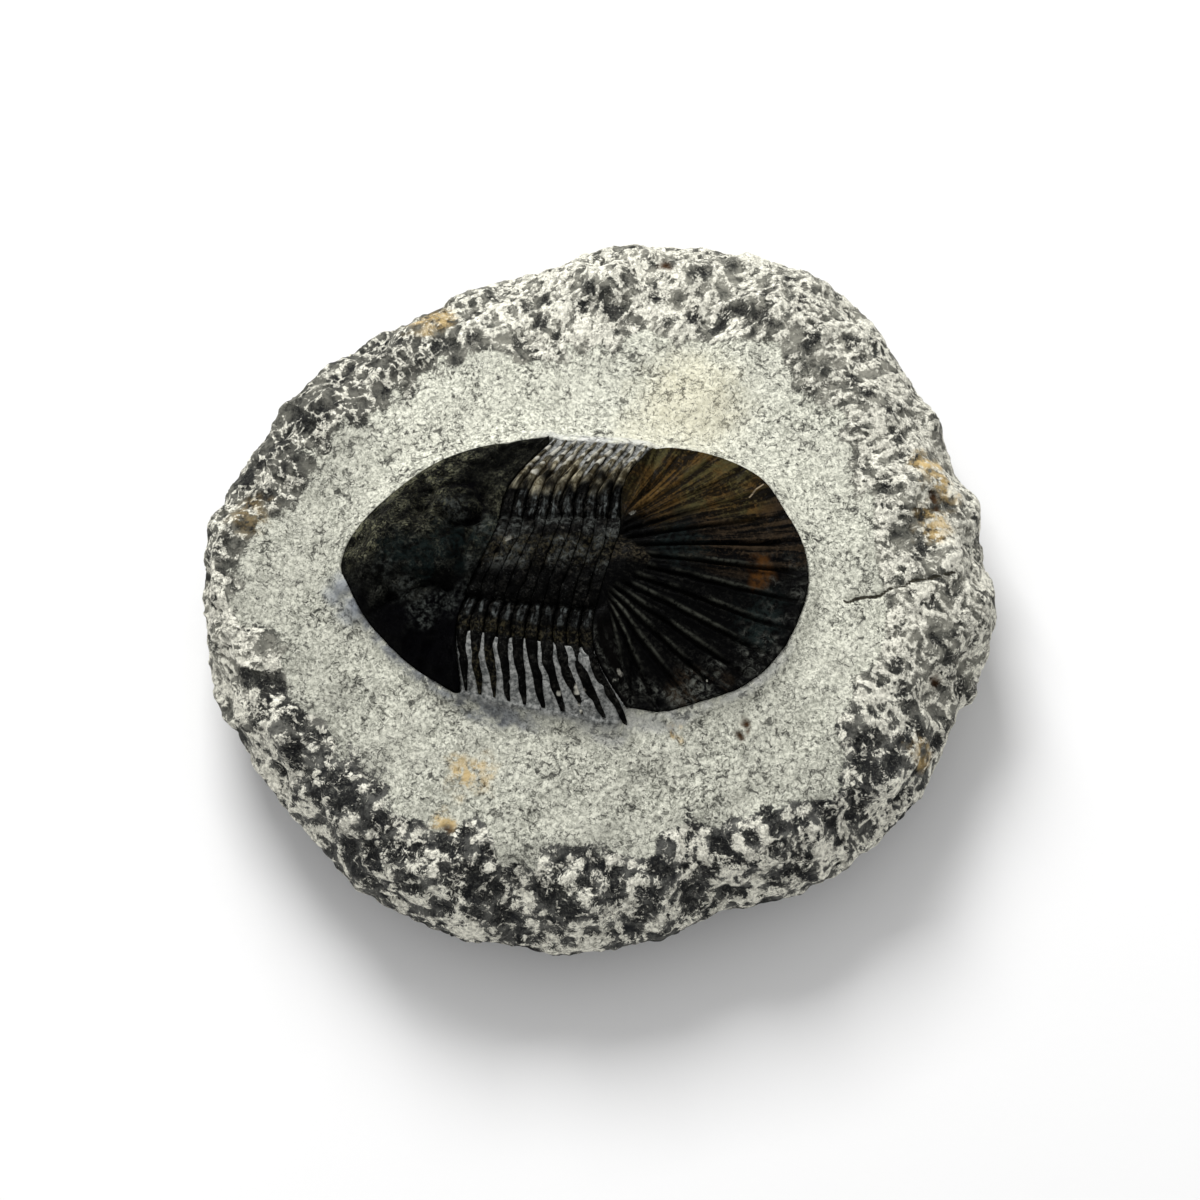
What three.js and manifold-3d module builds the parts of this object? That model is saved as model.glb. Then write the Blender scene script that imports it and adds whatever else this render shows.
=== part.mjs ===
// A fossil trilobite with a broad ribbed tail, in the loose limestone that it was found in.
// Millimetres, +Z up. The flat resting face of the stone is at z = 0, under the stone's middle.
// The head points to -X and the tail to +X. "Upper" is the +Y flank and "lower" the -Y flank.
import * as THREE from 'three';
import { mergeVertices } from 'three/addons/utils/BufferGeometryUtils.js';
import Module from 'manifold-3d';

const wasm = await Module();
wasm.setup();

// Driving dimensions of the stone
const EQUATOR_HEIGHT = 9;      // where the stone is widest
const BASE_SHARE = 0.8;        // flat resting face, as a share of the widest outline
const PLATEAU_HEIGHT = 20;     // prepared surface around the fossil
const SHOULDER_DROP = 1;       // fall of the prepared surface out to the shoulder
const STONE_COLUMNS = 72;

// Widest outline of the stone, anticlockwise from the right
const STONE_OUTLINE = [
  [44.7, -2.9], [43.6, 4.2], [43.1, 10.1], [40.1, 15.7], [38.7, 20.8], [34.6, 27.5],
  [31.6, 32.6], [25.5, 38.1], [21.0, 40.4], [11.0, 42.4], [2.2, 42.2], [-7.5, 39.5],
  [-18.2, 34.9], [-28.6, 29.2], [-34.5, 24.1], [-39.3, 17.7], [-42.8, 10.2], [-44.6, 4.1],
  [-44.0, -7.2], [-42.1, -14.5], [-39.5, -19.0], [-33.4, -26.7], [-26.2, -34.4], [-16.9, -39.0],
  [-9.0, -40.7], [-1.4, -41.1], [6.1, -39.9], [11.8, -37.2], [22.2, -34.3], [29.7, -29.5],
  [35.1, -24.6], [39.4, -16.0], [42.3, -10.8],
];

// Where the shoulder starts, as a share of the outline, every 45 degrees anticlockwise from +X
const SHOULDER_START = [0.765, 0.8, 0.77, 0.82, 0.94, 0.81, 0.7, 0.785];

// Driving dimensions of the fossil. Heights are above its margin.
const MARGIN_HEIGHT = 21.5;
const PLATE_BASE = 19.2;       // flat underside of every plate
const GAP = 0.3;               // between neighbouring pieces
const SEGMENTS = 10;
const JOINT_SPACING = 1.38;    // along the body, square to the joints
const AXIS_SHARE = 0.57;       // half-width of the axial lobe, as a share of the way to the fulcrum
const AXIS_RISE = 1.6;
const PLEURA_HEIGHT = 3.6;
const SPINE_TIP_HEIGHT = 0.8;
const TIP_SPACING = 8;         // length of one step of w past a spine's tip
const UPPER_BOW = 0.7;         // how far the upper half of a joint bows back
const HEAD_DOME = 4.2;
const TAIL_DOME = 4.3;
const RIB_COUNT = 15;
const RIB_DEPTH = 0.45;

// Ends and middle of the first joint, behind the head, and of the last one, before the tail
const FIRST_JOINT = { lower: [-15.8, -7.8], centre: [-13.15, -0.3], upper: [-10.5, 7.7] };
const LAST_JOINT = { lower: [-0.75, -10.0], centre: [1.0, -0.7], upper: [2.4, 7.7] };

// Free margin of the head, from its upper rear corner round the front to its lower rear corner
const HEAD_MARGIN = [
  [-5.7, 15.1], [-10.1, 14.5], [-14.5, 13.6], [-18.9, 11.7], [-23.3, 8.3], [-26.5, 5.0],
  [-28.2, 2.2], [-28.7, -0.4], [-27.6, -2.9], [-25.7, -6.3], [-21.5, -10.9], [-17.9, -13.5],
  [-15.9, -14.6],
];

// Free margin of the tail, from its lower front corner round the rear to its upper front corner
const TAIL_MARGIN = [
  [2.9, -16.4], [6.4, -16.8], [11.5, -15.5], [16.1, -13.7], [19.8, -10.1], [22.0, -5.9],
  [23.1, -1.8], [22.5, 2.6], [20.7, 6.2], [18.2, 10.0], [13.6, 12.6], [8.0, 13.8],
  [5.9, 13.6],
];

const HEAD_CENTRE = [-19.5, 0];
const TAIL_CENTRE = [4.0, -0.9];

// The ribs spread as if from these points: the lower ones, the rear ones and the upper ones
const RIB_FOCUS = { lower: [-0.1, -2.2], rear: [-4.9, 0], upper: [1.2, 1.0] };

const lerp = (a, b, t) => a + (b - a) * t;
const lerpPoint = (p, q, t) => p.map((value, i) => lerp(value, q[i], t));
const smooth = (t) => t * t * (3 - 2 * t);
const clamp01 = (t) => Math.min(Math.max(t, 0), 1);

// Points at equal steps along a smooth curve through the given [x, y] points
function curvePoints(points, count, closed) {
  const curve = new THREE.CatmullRomCurve3(points.map(([x, y]) => new THREE.Vector3(x, y, 0)), closed);
  const spaced = curve.getSpacedPoints(closed ? count : count - 1).map((p) => [p.x, p.y]);
  return closed ? spaced.slice(0, count) : spaced;
}

// A closed solid from a stack of loops with equal point counts, closed by a point at either end.
// Each loop runs anticlockwise as seen from the far end of the stack.
function loopSolid(start, loops, end) {
  const n = loops[0].length;
  const positions = [...start, ...loops.flat(2), ...end];
  const indices = [];
  for (let j = 0; j < n; j += 1) {
    const next = (j + 1) % n;
    indices.push(0, 1 + next, 1 + j);
    for (let i = 0; i < loops.length - 1; i += 1) {
      const row = 1 + i * n;
      indices.push(row + j, row + next, row + n + next);
      indices.push(row + j, row + n + next, row + n + j);
    }
    const last = 1 + (loops.length - 1) * n;
    indices.push(last + j, last + next, last + n);
  }
  const geometry = new THREE.BufferGeometry();
  geometry.setAttribute('position', new THREE.Float32BufferAttribute(positions, 3));
  geometry.setIndex(indices);
  return geometry;
}

function addPlate(group, name, geometry, colour) {
  const material = new THREE.MeshStandardMaterial({ color: colour, roughness: 0.45, metalness: 0 });
  const mesh = new THREE.Mesh(geometry, material);
  mesh.name = name;
  group.add(mesh);
}

// The thorax as a lattice: t counts joints from 0 behind the head to 10 before the tail, and w runs
// across, -1 and 1 at the fulcrums where the pleurae bend down, -2 and 2 at the tips of the spines.
function thoraxPoint(t, w) {
  const share = t / SEGMENTS;
  const step = t - 0.5;
  const lowerTip = [-14.7 + 1.4 * step + 0.06 * step * step, -14.7 - 0.39 * step];
  const upperTip = [-4.9 + 1.13 * step, 14.7 - 0.08 * step];
  const line = [
    lowerTip,
    lerpPoint(FIRST_JOINT.lower, LAST_JOINT.lower, share),
    lerpPoint(FIRST_JOINT.centre, LAST_JOINT.centre, share),
    lerpPoint(FIRST_JOINT.upper, LAST_JOINT.upper, share),
    upperTip,
  ].map(([x, y]) => new THREE.Vector3(x, y, 0));
  const curve = new THREE.CatmullRomCurve3(line, false, 'catmullrom');
  const reach = Math.min(Math.max(w, -2), 2);
  const point = curve.getPoint((reach + 2) / 4);
  const onward = curve.getTangent((reach + 2) / 4).multiplyScalar((w - reach) * TIP_SPACING);
  const bow = UPPER_BOW * Math.exp(-(((w - 0.42) / 0.4) ** 2));
  return [point.x + onward.x + bow, point.y + onward.y];
}

// Height of the pleurae at w: level out to the fulcrum, then down to the spine tips
function pleuraHeight(w) {
  const beyond = clamp01(Math.abs(w) - 1);
  return PLEURA_HEIGHT - (PLEURA_HEIGHT - SPINE_TIP_HEIGHT) * beyond ** 1.6;
}

// Extra height of a rounded lobe of the given half-width
const lobe = (offset, halfWidth) => Math.sqrt(Math.max(0, 1 - (offset / halfWidth) ** 2));

// Half of a segment's extent along the body, as a share of the joint spacing. The free spines are
// narrower than the segment and taper to their tips. The extra is the room left around it.
function segmentHalf(w, extra) {
  const room = 0.5 - 0.5 * GAP / JOINT_SPACING;
  const beyond = clamp01((Math.abs(w) - 0.95) / 1.05);
  return lerp(room, 0.33, clamp01(beyond * 6)) * (1 - 0.82 * beyond ** 3) + extra;
}

const SEGMENT_STATIONS = [
  -1.99, -1.88, -1.7, -1.5, -1.3, -1.15, -1.0, -0.85, -0.7, -0.57, -0.5, -0.36, -0.18, 0,
  0.18, 0.36, 0.5, 0.57, 0.7, 0.85, 1.0, 1.15, 1.3, 1.5, 1.7, 1.88, 1.99,
];

// One thoracic segment: arched axial ring in the middle, level pleurae, free spines at both sides
function segmentPlate(number) {
  const middle = number - 0.5;
  const loops = SEGMENT_STATIONS.map((w) => {
    const half = segmentHalf(w, 0);
    const front = thoraxPoint(middle - half, w);
    const crest = thoraxPoint(middle + 0.1 * half, w);
    const rear = thoraxPoint(middle + half, w);
    const edge = MARGIN_HEIGHT + pleuraHeight(w) + AXIS_RISE * lobe(w, AXIS_SHARE) - 0.25;
    return [
      [...front, PLATE_BASE], [...front, edge], [...crest, edge + 0.25], [...rear, edge],
      [...rear, PLATE_BASE],
    ];
  });
  const middleOf = (loop) => lerpPoint(loop[0], loop[2], 0.5);
  return loopSolid(middleOf(loops[0]), loops, middleOf(loops.at(-1)));
}

// A shield over a star-shaped outline: a wall up from the flat underside, then rings in to the centre.
// The bend moves a ring's point aside from the straight way to the centre.
function shield(outline, centre, rings, height, bend = () => [0, 0]) {
  const loops = [outline.map((p) => [...p, PLATE_BASE])];
  for (let ring = rings; ring > 0; ring -= 1) {
    const share = ring / rings;
    loops.push(outline.map((p, j) => {
      const [dx, dy] = bend(j, share);
      const [x, y] = lerpPoint(centre, p, share);
      const point = [x + dx, y + dy];
      return [...point, MARGIN_HEIGHT + height(point, share, j)];
    }));
  }
  return loopSolid([...centre, PLATE_BASE], loops, [...centre, MARGIN_HEIGHT + height(centre, 0, 0)]);
}

// Head shield
const HEAD_FREE_COLUMNS = 38;
const HEAD_JOINT_COLUMNS = 20;
const headJointShare = (i) => lerp(-1.95, 1.95, (i + 0.5) / HEAD_JOINT_COLUMNS);
const headJoint = Array.from({ length: HEAD_JOINT_COLUMNS }, (_, i) => {
  return thoraxPoint(-0.5 * GAP / JOINT_SPACING, headJointShare(i));
});
const headOutline = [...curvePoints(HEAD_MARGIN, HEAD_FREE_COLUMNS, false), ...headJoint];

// Position in the head: u back from the front of the first joint, v across from the mid-line
function headPlace([x, y]) {
  const back = new THREE.Vector2(0.997, -0.072);
  const across = new THREE.Vector2(0.324, 0.946);
  const [dx, dy] = [x - FIRST_JOINT.centre[0], y - FIRST_JOINT.centre[1]];
  const cross = back.x * across.y - back.y * across.x;
  return { u: (dx * across.y - dy * across.x) / cross, v: (back.x * dy - back.y * dx) / cross };
}

// Half-width of the glabella at u: narrow between the eyes, swollen at the front
function glabellaHalf(u) {
  const stations = [[-14.6, 3.5], [-12, 7.8], [-8, 5.0], [-4, 3.7], [0, 4.6]];
  if (u <= stations[0][0]) return 0.01;
  const next = stations.findIndex(([start]) => u < start);
  if (next < 0) return stations.at(-1)[1];
  const [before, after] = [stations[next - 1], stations[next]];
  return lerp(before[1], after[1], smooth((u - before[0]) / (after[0] - before[0])));
}

function headHeight(point, share, column) {
  const { u, v } = headPlace(point);
  const joint = column - HEAD_FREE_COLUMNS;
  const edge = joint < 0 ? 0.3 : pleuraHeight(headJointShare(joint));
  const dome = edge + (HEAD_DOME - edge) * (1 - share ** 2.6);
  const front = smooth(clamp01((u + 14.8) / 3));
  const glabella = AXIS_RISE * lobe(v, glabellaHalf(u)) * front;
  const eye = 1.3 * Math.exp(-(((u + 4.6) / 2.2) ** 2 + ((Math.abs(v) - 6.2) / 1.7) ** 2));
  const neckFurrow = 0.5 * Math.exp(-(((u + 2.2) / 0.6) ** 2));
  return dome + glabella + eye - neckFurrow * share;
}

// Tail shield: a rib has four columns, of which the first lies in the furrow beside it
const TAIL_FREE_COLUMNS = 4 * RIB_COUNT + 1;
const TAIL_JOINT_COLUMNS = 15;
const tailJointShare = (i) => lerp(1.86, -1.72, (i + 0.5) / TAIL_JOINT_COLUMNS);
const tailJoint = Array.from({ length: TAIL_JOINT_COLUMNS }, (_, i) => {
  return thoraxPoint(SEGMENTS + 0.5 * GAP / JOINT_SPACING, tailJointShare(i));
});
const tailOutline = [...curvePoints(TAIL_MARGIN, TAIL_FREE_COLUMNS, false), ...tailJoint];

// From the straight way to the centre to the way towards a rib's focus, eased out at the centre. The
// turn is -1 at the lower front corner and 1 at the upper one.
function focusBend([x, y], turn, share) {
  const focus = lerpPoint(RIB_FOCUS.rear, turn < 0 ? RIB_FOCUS.lower : RIB_FOCUS.upper, turn * turn);
  const toFocus = [focus[0] - x, focus[1] - y];
  const toCentre = [TAIL_CENTRE[0] - x, TAIL_CENTRE[1] - y];
  const ratio = Math.hypot(...toCentre) / Math.hypot(...toFocus);
  const amount = (1 - share) * smooth(clamp01(share * 2));
  return toFocus.map((value, i) => (value * ratio - toCentre[i]) * amount);
}

// Bend of a column of the tail. Along the joint it fades from either corner towards the middle.
function tailBend(column, share) {
  const last = TAIL_FREE_COLUMNS - 1;
  if (column <= last) return focusBend(tailOutline[column], (2 * column) / last - 1, share);
  const way = (column - last) / (TAIL_JOINT_COLUMNS + 1);
  const corner = way < 0.5 ? focusBend(tailOutline[last], 1, share) : focusBend(tailOutline[0], -1, share);
  return corner.map((value) => value * (1 - 2 * Math.min(way, 1 - way)) ** 2);
}

function tailHeight(point, share, column) {
  const joint = column - TAIL_FREE_COLUMNS;
  const edge = joint < 0 ? 0.3 : pleuraHeight(tailJointShare(joint));
  const fall = (1 - share) ** 2 * (1 + 2 * share);
  const dome = edge + (TAIL_DOME - edge) * fall;
  const u = point[0] - LAST_JOINT.centre[0];
  const v = point[1] - LAST_JOINT.centre[1];
  const axisHalf = Math.max(0.5, 4.6 - 0.75 * u);
  const axis = AXIS_RISE * lobe(v, axisHalf) * smooth(clamp01(1 - u / 6));
  const furrow = joint < 0 && column % 4 === 0 ? RIB_DEPTH * smooth(clamp01((share - 0.15) * 3)) : 0;
  return dome + axis - furrow * (share < 1 ? 1 : 0.5);
}

// The whole fossil's margin, anticlockwise, which the bank of stone follows
const bodyMargin = curvePoints([
  ...HEAD_MARGIN,
  ...[1, 3, 5, 7, 9].map((t) => thoraxPoint(t, -2)),
  ...TAIL_MARGIN,
  ...[9, 7, 5, 3, 1].map((t) => thoraxPoint(t, 2)),
], 160, true);
const BODY_CENTRE = [-2.5, -0.8];

// Distance from the body's centre to its margin in a direction
function marginRadius(angle) {
  const [dx, dy] = [Math.cos(angle), Math.sin(angle)];
  let radius = 0;
  bodyMargin.forEach((p, i) => {
    const q = bodyMargin[(i + 1) % bodyMargin.length];
    const [px, py] = [p[0] - BODY_CENTRE[0], p[1] - BODY_CENTRE[1]];
    const [ex, ey] = [q[0] - p[0], q[1] - p[1]];
    const turn = dx * ey - dy * ex;
    const along = (px * dy - py * dx) / -turn;
    const distance = (px * ey - py * ex) / turn;
    if (along >= 0 && along <= 1 && distance > radius) radius = distance;
  });
  return radius;
}

// Broad lumps and hollows of the broken and tooled surface: waves 8 to 20 mm long, crossing
function lumps(x, y, z) {
  return 0.45 * Math.sin(0.31 * x + 0.17 * y + 0.4 * z + 1.1)
    + 0.4 * Math.sin(-0.23 * x + 0.52 * y + 0.5 * z)
    + 0.35 * Math.sin(0.62 * x - 0.41 * y + 0.7 * z + 2.3)
    + 0.3 * Math.sin(0.5 * x + 0.6 * y - 0.6 * z + 4.0);
}

// Share of the outline at which the shoulder starts in a direction
function shoulderStart(angle) {
  const turn = ((angle / (Math.PI / 4)) + 8) % 8;
  const before = Math.floor(turn);
  return lerp(SHOULDER_START[before], SHOULDER_START[(before + 1) % 8], smooth(turn - before));
}

// The stone before its pocket is cut: flat base, rounded underside, shoulder, plateau and bank
function stoneBlank() {
  const columns = curvePoints(STONE_OUTLINE, STONE_COLUMNS, true);
  const loops = [];
  const addLoop = (place) => loops.push(columns.map((p) => place(p)));
  for (const share of [0, 0.3, 0.55, 0.78]) {
    const turn = share * Math.PI / 2;
    const rise = EQUATOR_HEIGHT * Math.sin(turn * 0.8) / Math.sin(Math.PI * 0.4);
    addLoop(([x, y]) => {
      const swell = share > 0 ? 0.014 * Math.cos(turn) * lumps(x, y, rise) : 0;
      const size = lerp(BASE_SHARE, 1, Math.sin(turn)) + swell;
      return [x * size, y * size, rise];
    });
  }
  addLoop(([x, y]) => [x, y, EQUATOR_HEIGHT]);
  for (const share of [0.25, 0.45, 0.63, 0.8, 1]) {
    addLoop(([x, y]) => {
      const start = shoulderStart(Math.atan2(y, x));
      const turn = share * Math.PI / 2;
      const size = lerp(start, 1, Math.cos(turn));
      const top = PLATEAU_HEIGHT - SHOULDER_DROP;
      const rise = lerp(EQUATOR_HEIGHT, top, Math.sin(turn));
      const lump = lumps(x * size, y * size, rise);
      const swell = size * (1 + 0.022 * Math.sin(turn) * lump);
      return [x * swell, y * swell, rise + 0.55 * lump];
    });
  }
  const fossilSide = columns.map(([x, y]) => {
    const angle = Math.atan2(y - BODY_CENTRE[1], x - BODY_CENTRE[0]);
    return { angle, radius: marginRadius(angle) };
  });
  const nearFossil = (offset, height) => fossilSide.map(({ angle, radius }) => [
    BODY_CENTRE[0] + (radius + offset) * Math.cos(angle),
    BODY_CENTRE[1] + (radius + offset) * Math.sin(angle),
    height,
  ]);
  const moat = nearFossil(4, PLATEAU_HEIGHT - 0.3);
  const shoulder = loops.at(-1);
  for (const share of [0.3, 0.65]) {
    loops.push(shoulder.map((p, j) => {
      const [x, y, z] = lerpPoint(p, moat[j], share);
      return [x, y, z + 0.4 * lumps(x, y, 0)];
    }));
  }
  loops.push(moat);
  loops.push(nearFossil(2, PLATEAU_HEIGHT - 0.1));
  loops.push(nearFossil(0.8, PLATEAU_HEIGHT + 1.1));
  loops.push(nearFossil(-1.5, PLATEAU_HEIGHT + 1.3));
  return loopSolid([0, 0, 0], loops, [...BODY_CENTRE, PLATEAU_HEIGHT + 1.3]);
}

function toSolid(geometry) {
  const merged = mergeVertices(geometry);
  return new wasm.Manifold(new wasm.Mesh({
    numProp: 3,
    vertProperties: merged.attributes.position.array,
    triVerts: new Uint32Array(merged.index.array),
  }));
}

function toGeometry(solid) {
  const { vertProperties, triVerts } = solid.getMesh();
  const geometry = new THREE.BufferGeometry();
  geometry.setAttribute('position', new THREE.Float32BufferAttribute(vertProperties, 3));
  geometry.setIndex([...triVerts]);
  return geometry;
}

// An outline moved outwards by the gap, square to its own edges
function grown(outline) {
  return outline.map((p, i) => {
    const before = outline.at(i - 1);
    const after = outline[(i + 1) % outline.length];
    const [ex, ey] = [after[0] - before[0], after[1] - before[1]];
    const length = Math.hypot(ex, ey);
    return [p[0] + GAP * ey / length, p[1] - GAP * ex / length];
  });
}

// Outline of a segment with room around it, anticlockwise
function segmentRoom(number) {
  const middle = number - 0.5;
  const extra = GAP / 1.25;
  const widths = SEGMENT_STATIONS.map((w) => w * 1.02);
  const rear = widths.map((w) => thoraxPoint(middle + segmentHalf(w, extra), w));
  const front = widths.map((w) => thoraxPoint(middle - segmentHalf(w, extra), w));
  return [...rear, ...front.reverse()];
}

// The pocket that the plates lie in, cut through the top of the stone
function cutPocket(blank) {
  const rooms = [grown(headOutline), grown(tailOutline)];
  for (let number = 1; number <= SEGMENTS; number += 1) rooms.push(segmentRoom(number));
  const prisms = rooms.map((room) => {
    const shape = new THREE.Shape(room.map(([x, y]) => new THREE.Vector2(x, y)));
    const prism = new THREE.ExtrudeGeometry(shape, { depth: 10, bevelEnabled: false });
    prism.deleteAttribute('normal');
    prism.deleteAttribute('uv');
    return toSolid(prism.translate(0, 0, PLATE_BASE - GAP));
  });
  const pocket = prisms.reduce((joined, prism) => joined.add(prism));
  return toGeometry(toSolid(blank).subtract(pocket));
}

const fossil = new THREE.Group();
const stoneMaterial = new THREE.MeshStandardMaterial({ color: 0x8f8d84, roughness: 0.95, metalness: 0 });
const stone = new THREE.Mesh(cutPocket(stoneBlank()), stoneMaterial);
stone.name = 'matrix';
fossil.add(stone);

addPlate(fossil, 'cephalon', shield(headOutline, HEAD_CENTRE, 12, headHeight), 0x1c1b17);
for (let number = 1; number <= SEGMENTS; number += 1) {
  const name = `thoracic_segment_${String(number).padStart(2, '0')}`;
  addPlate(fossil, name, segmentPlate(number), 0x211e18);
}
addPlate(fossil, 'pygidium', shield(tailOutline, TAIL_CENTRE, 9, tailHeight, tailBend), 0x231b12);

// The origin lies under the middle of the stone's box
const middle = new THREE.Box3().setFromObject(stone).getCenter(new THREE.Vector3());
fossil.position.set(-middle.x, -middle.y, 0);

export default fossil;
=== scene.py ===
import math

import bpy
import numpy as np
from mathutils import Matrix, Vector


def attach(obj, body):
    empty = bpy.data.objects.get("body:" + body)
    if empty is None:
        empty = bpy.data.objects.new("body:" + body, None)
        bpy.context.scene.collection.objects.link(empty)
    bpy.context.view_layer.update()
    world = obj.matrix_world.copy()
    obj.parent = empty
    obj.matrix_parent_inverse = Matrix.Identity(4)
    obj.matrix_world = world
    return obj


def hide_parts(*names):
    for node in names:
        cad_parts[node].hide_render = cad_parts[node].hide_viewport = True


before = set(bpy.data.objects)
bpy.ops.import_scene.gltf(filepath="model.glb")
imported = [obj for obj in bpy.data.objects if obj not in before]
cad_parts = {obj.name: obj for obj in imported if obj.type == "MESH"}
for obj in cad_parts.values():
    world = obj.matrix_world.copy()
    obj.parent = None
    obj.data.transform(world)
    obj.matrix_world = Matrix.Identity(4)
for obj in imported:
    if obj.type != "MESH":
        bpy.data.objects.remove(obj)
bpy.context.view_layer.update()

# Camera
# The photograph was taken from in front of the stone's near side, looking down at 72 degrees, with a
# long lens. Lengths in this file are millimetres, and become metres where a mesh is made.
MILLIMETRE = 0.001
ORIGIN_SHIFT = np.array([0.0069, -0.7013, 0.0])   # puts the middle of the stone's box at x = y = 0
CAMERA_HEIGHT_ANGLE = math.radians(72)
CAMERA_DISTANCE = 445
CAMERA_TARGET_HEIGHT = 9
CAMERA_LENS = 116.9
SENSOR_WIDTH = 36

lens = bpy.data.cameras.new("photo_camera")
lens.lens = CAMERA_LENS
lens.sensor_width = SENSOR_WIDTH
lens.clip_start = 0.01
camera = bpy.data.objects.new("photo_camera", lens)
bpy.context.collection.objects.link(camera)
aim = Vector((ORIGIN_SHIFT[0], ORIGIN_SHIFT[1], CAMERA_TARGET_HEIGHT)) * MILLIMETRE
back = Vector((0, -math.cos(CAMERA_HEIGHT_ANGLE), math.sin(CAMERA_HEIGHT_ANGLE)))
camera.location = aim + back * CAMERA_DISTANCE * MILLIMETRE
camera.rotation_euler = back.to_track_quat("Z", "Y").to_euler()
bpy.context.scene.camera = camera

# Thorax
# Ten segments of hard shell, each an arched axial ring between two level pleurae that bend down and
# run out as free spines. They lie one behind the other, front edge tucked under the one before.
SEGMENTS = 10
JOINT_SPACING = 1.38
SHOWN_GAP = 0.06     # the solids leave 0.3; here the plates all but touch
MARGIN_HEIGHT = 21.5
PLATE_BASE = 19.2
AXIS_SHARE = 0.57
AXIS_RISE = 1.6
PLEURA_HEIGHT = 3.6
SPINE_TIP_HEIGHT = 0.8
TIP_SPACING = 8
UPPER_BOW = 0.7      # how far the upper half of a joint bows back
FIRST_JOINT = np.array([[-15.8, -7.8], [-13.15, -0.3], [-10.5, 7.7]])   # lower fulcrum, middle, upper
LAST_JOINT = np.array([[-0.75, -10.0], [1.0, -0.7], [2.4, 7.7]])
LOWER_TIP, LOWER_TIP_STEP = [-14.7, -14.7], [1.4, -0.39]   # tip of the first spine, step to the next
LOWER_TIP_BEND = 0.06
UPPER_TIP, UPPER_TIP_STEP = [-4.9, 14.7], [1.13, -0.08]
SPINE_HALF = 0.38    # half-width of a spine near its root, in joint spacings


def ease(value):
    """Goes from 0 to 1 as 3v² - 2v³ while the value goes from 0 to 1, and stays there."""
    value = np.clip(value, 0, 1)
    return value * value * (3 - 2 * value)


def grain(place, size, seed):
    """Smooth random field between -1 and 1 with lumps of about this size: the corners of a cubic
    lattice get hashed values, and a point blends its cell's eight corners by eased shares."""
    cell = np.asarray(place) / size
    corner = np.floor(cell).astype(np.int64)
    share = cell - corner
    share = share * share * (3 - 2 * share)
    total = np.zeros(cell.shape[:-1])
    for i in range(8):
        side = np.array([i & 1, (i >> 1) & 1, (i >> 2) & 1])
        key = ((corner + side) * np.array([73856093, 19349663, 83492791])).sum(axis=-1)
        key = (key + seed * 40503) & 0xFFFFFFFF
        key = ((key ^ (key >> 15)) * 668265263) & 0xFFFFFFFF
        key = ((key ^ (key >> 13)) * 374761393) & 0xFFFFFFFF
        value = ((key ^ (key >> 16)) & 0xFFFF) / 32767.5 - 1
        total += value * np.prod(np.where(side == 1, share, 1 - share), axis=-1)
    return total


def cubic(start, leave, end, arrive, s):
    """Cubic from start to end with these slopes there, at the share s of the way."""
    curve = (2 * s**3 - 3 * s**2 + 1) * start + (s**3 - 2 * s**2 + s) * leave
    return curve + (3 * s**2 - 2 * s**3) * end + (s**3 - s**2) * arrive


def thorax_point(t, w):
    """Place in the lattice of the thorax: t counts joints from the head, and w runs across, 1 at a
    fulcrum and 2 at a spine's tip. Cubics through tip, fulcrum, middle, fulcrum and tip, whose slope
    at each is half the step between its neighbours; straight on past the tips; plus the upper bow."""
    t, w = np.broadcast_arrays(np.asarray(t, float), np.asarray(w, float))
    share = (t / SEGMENTS)[..., None]
    step = (t - 0.5)[..., None]
    line = [FIRST_JOINT[i] + (LAST_JOINT[i] - FIRST_JOINT[i]) * share for i in range(3)]
    lower_tip = LOWER_TIP + step * LOWER_TIP_STEP + LOWER_TIP_BEND * step**2 * [1, 0]
    upper_tip = UPPER_TIP + step * UPPER_TIP_STEP
    line = [lower_tip, *line, upper_tip]
    line = [2 * line[0] - line[1], *line, 2 * line[4] - line[3]]
    reach = np.clip(w, -2, 2)
    stretch = np.minimum(np.floor(reach + 2), 3)
    s = (reach + 2 - stretch)[..., None]
    place = np.zeros(t.shape + (2,))
    for i in range(4):
        before, start, end, after = line[i:i + 4]
        curve = cubic(start, 0.5 * (end - before), end, 0.5 * (after - start), s)
        place += np.where((stretch == i)[..., None], curve, 0)
    onward = np.where((w > 0)[..., None], line[5] - line[4], line[2] - line[1])
    onward = onward / np.linalg.norm(onward, axis=-1, keepdims=True)
    place = place + onward * ((w - reach) * TIP_SPACING)[..., None]
    place[..., 0] += UPPER_BOW * bell((w - 0.42) / 0.4)
    return place


def pleura_height(w):
    """Level out to the fulcrum, then down to the spine tips as a power of the way past it."""
    beyond = np.clip(np.abs(w) - 1, 0, 1)
    return PLEURA_HEIGHT - (PLEURA_HEIGHT - SPINE_TIP_HEIGHT) * beyond**1.6


def bell(offset):
    """1 at 0, falling as the exponential of minus the square."""
    return np.exp(-offset**2)


def lobe(offset, half_width):
    """Half of an ellipse: the height of a rounded lobe, 1 along its middle."""
    return np.sqrt(np.clip(1 - (offset / half_width) ** 2, 0, 1))


def segment_half(w):
    """Half of a segment's extent along the body, in joint spacings; spines are narrower and taper."""
    room = 0.5 - 0.5 * SHOWN_GAP / JOINT_SPACING
    beyond = np.clip((np.abs(w) - 0.95) / 1.05, 0, 1)
    return (room + (SPINE_HALF - room) * ease(beyond * 2.2)) * (1 - 0.45 * beyond**2 - 0.3 * beyond**6)


def layer(x, y, z):
    """Stacks coordinates into points."""
    return np.stack(np.broadcast_arrays(x, y, z), axis=-1)


def level(place):
    """The points at height 0."""
    return layer(place[..., 0], place[..., 1], 0.0)


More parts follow.
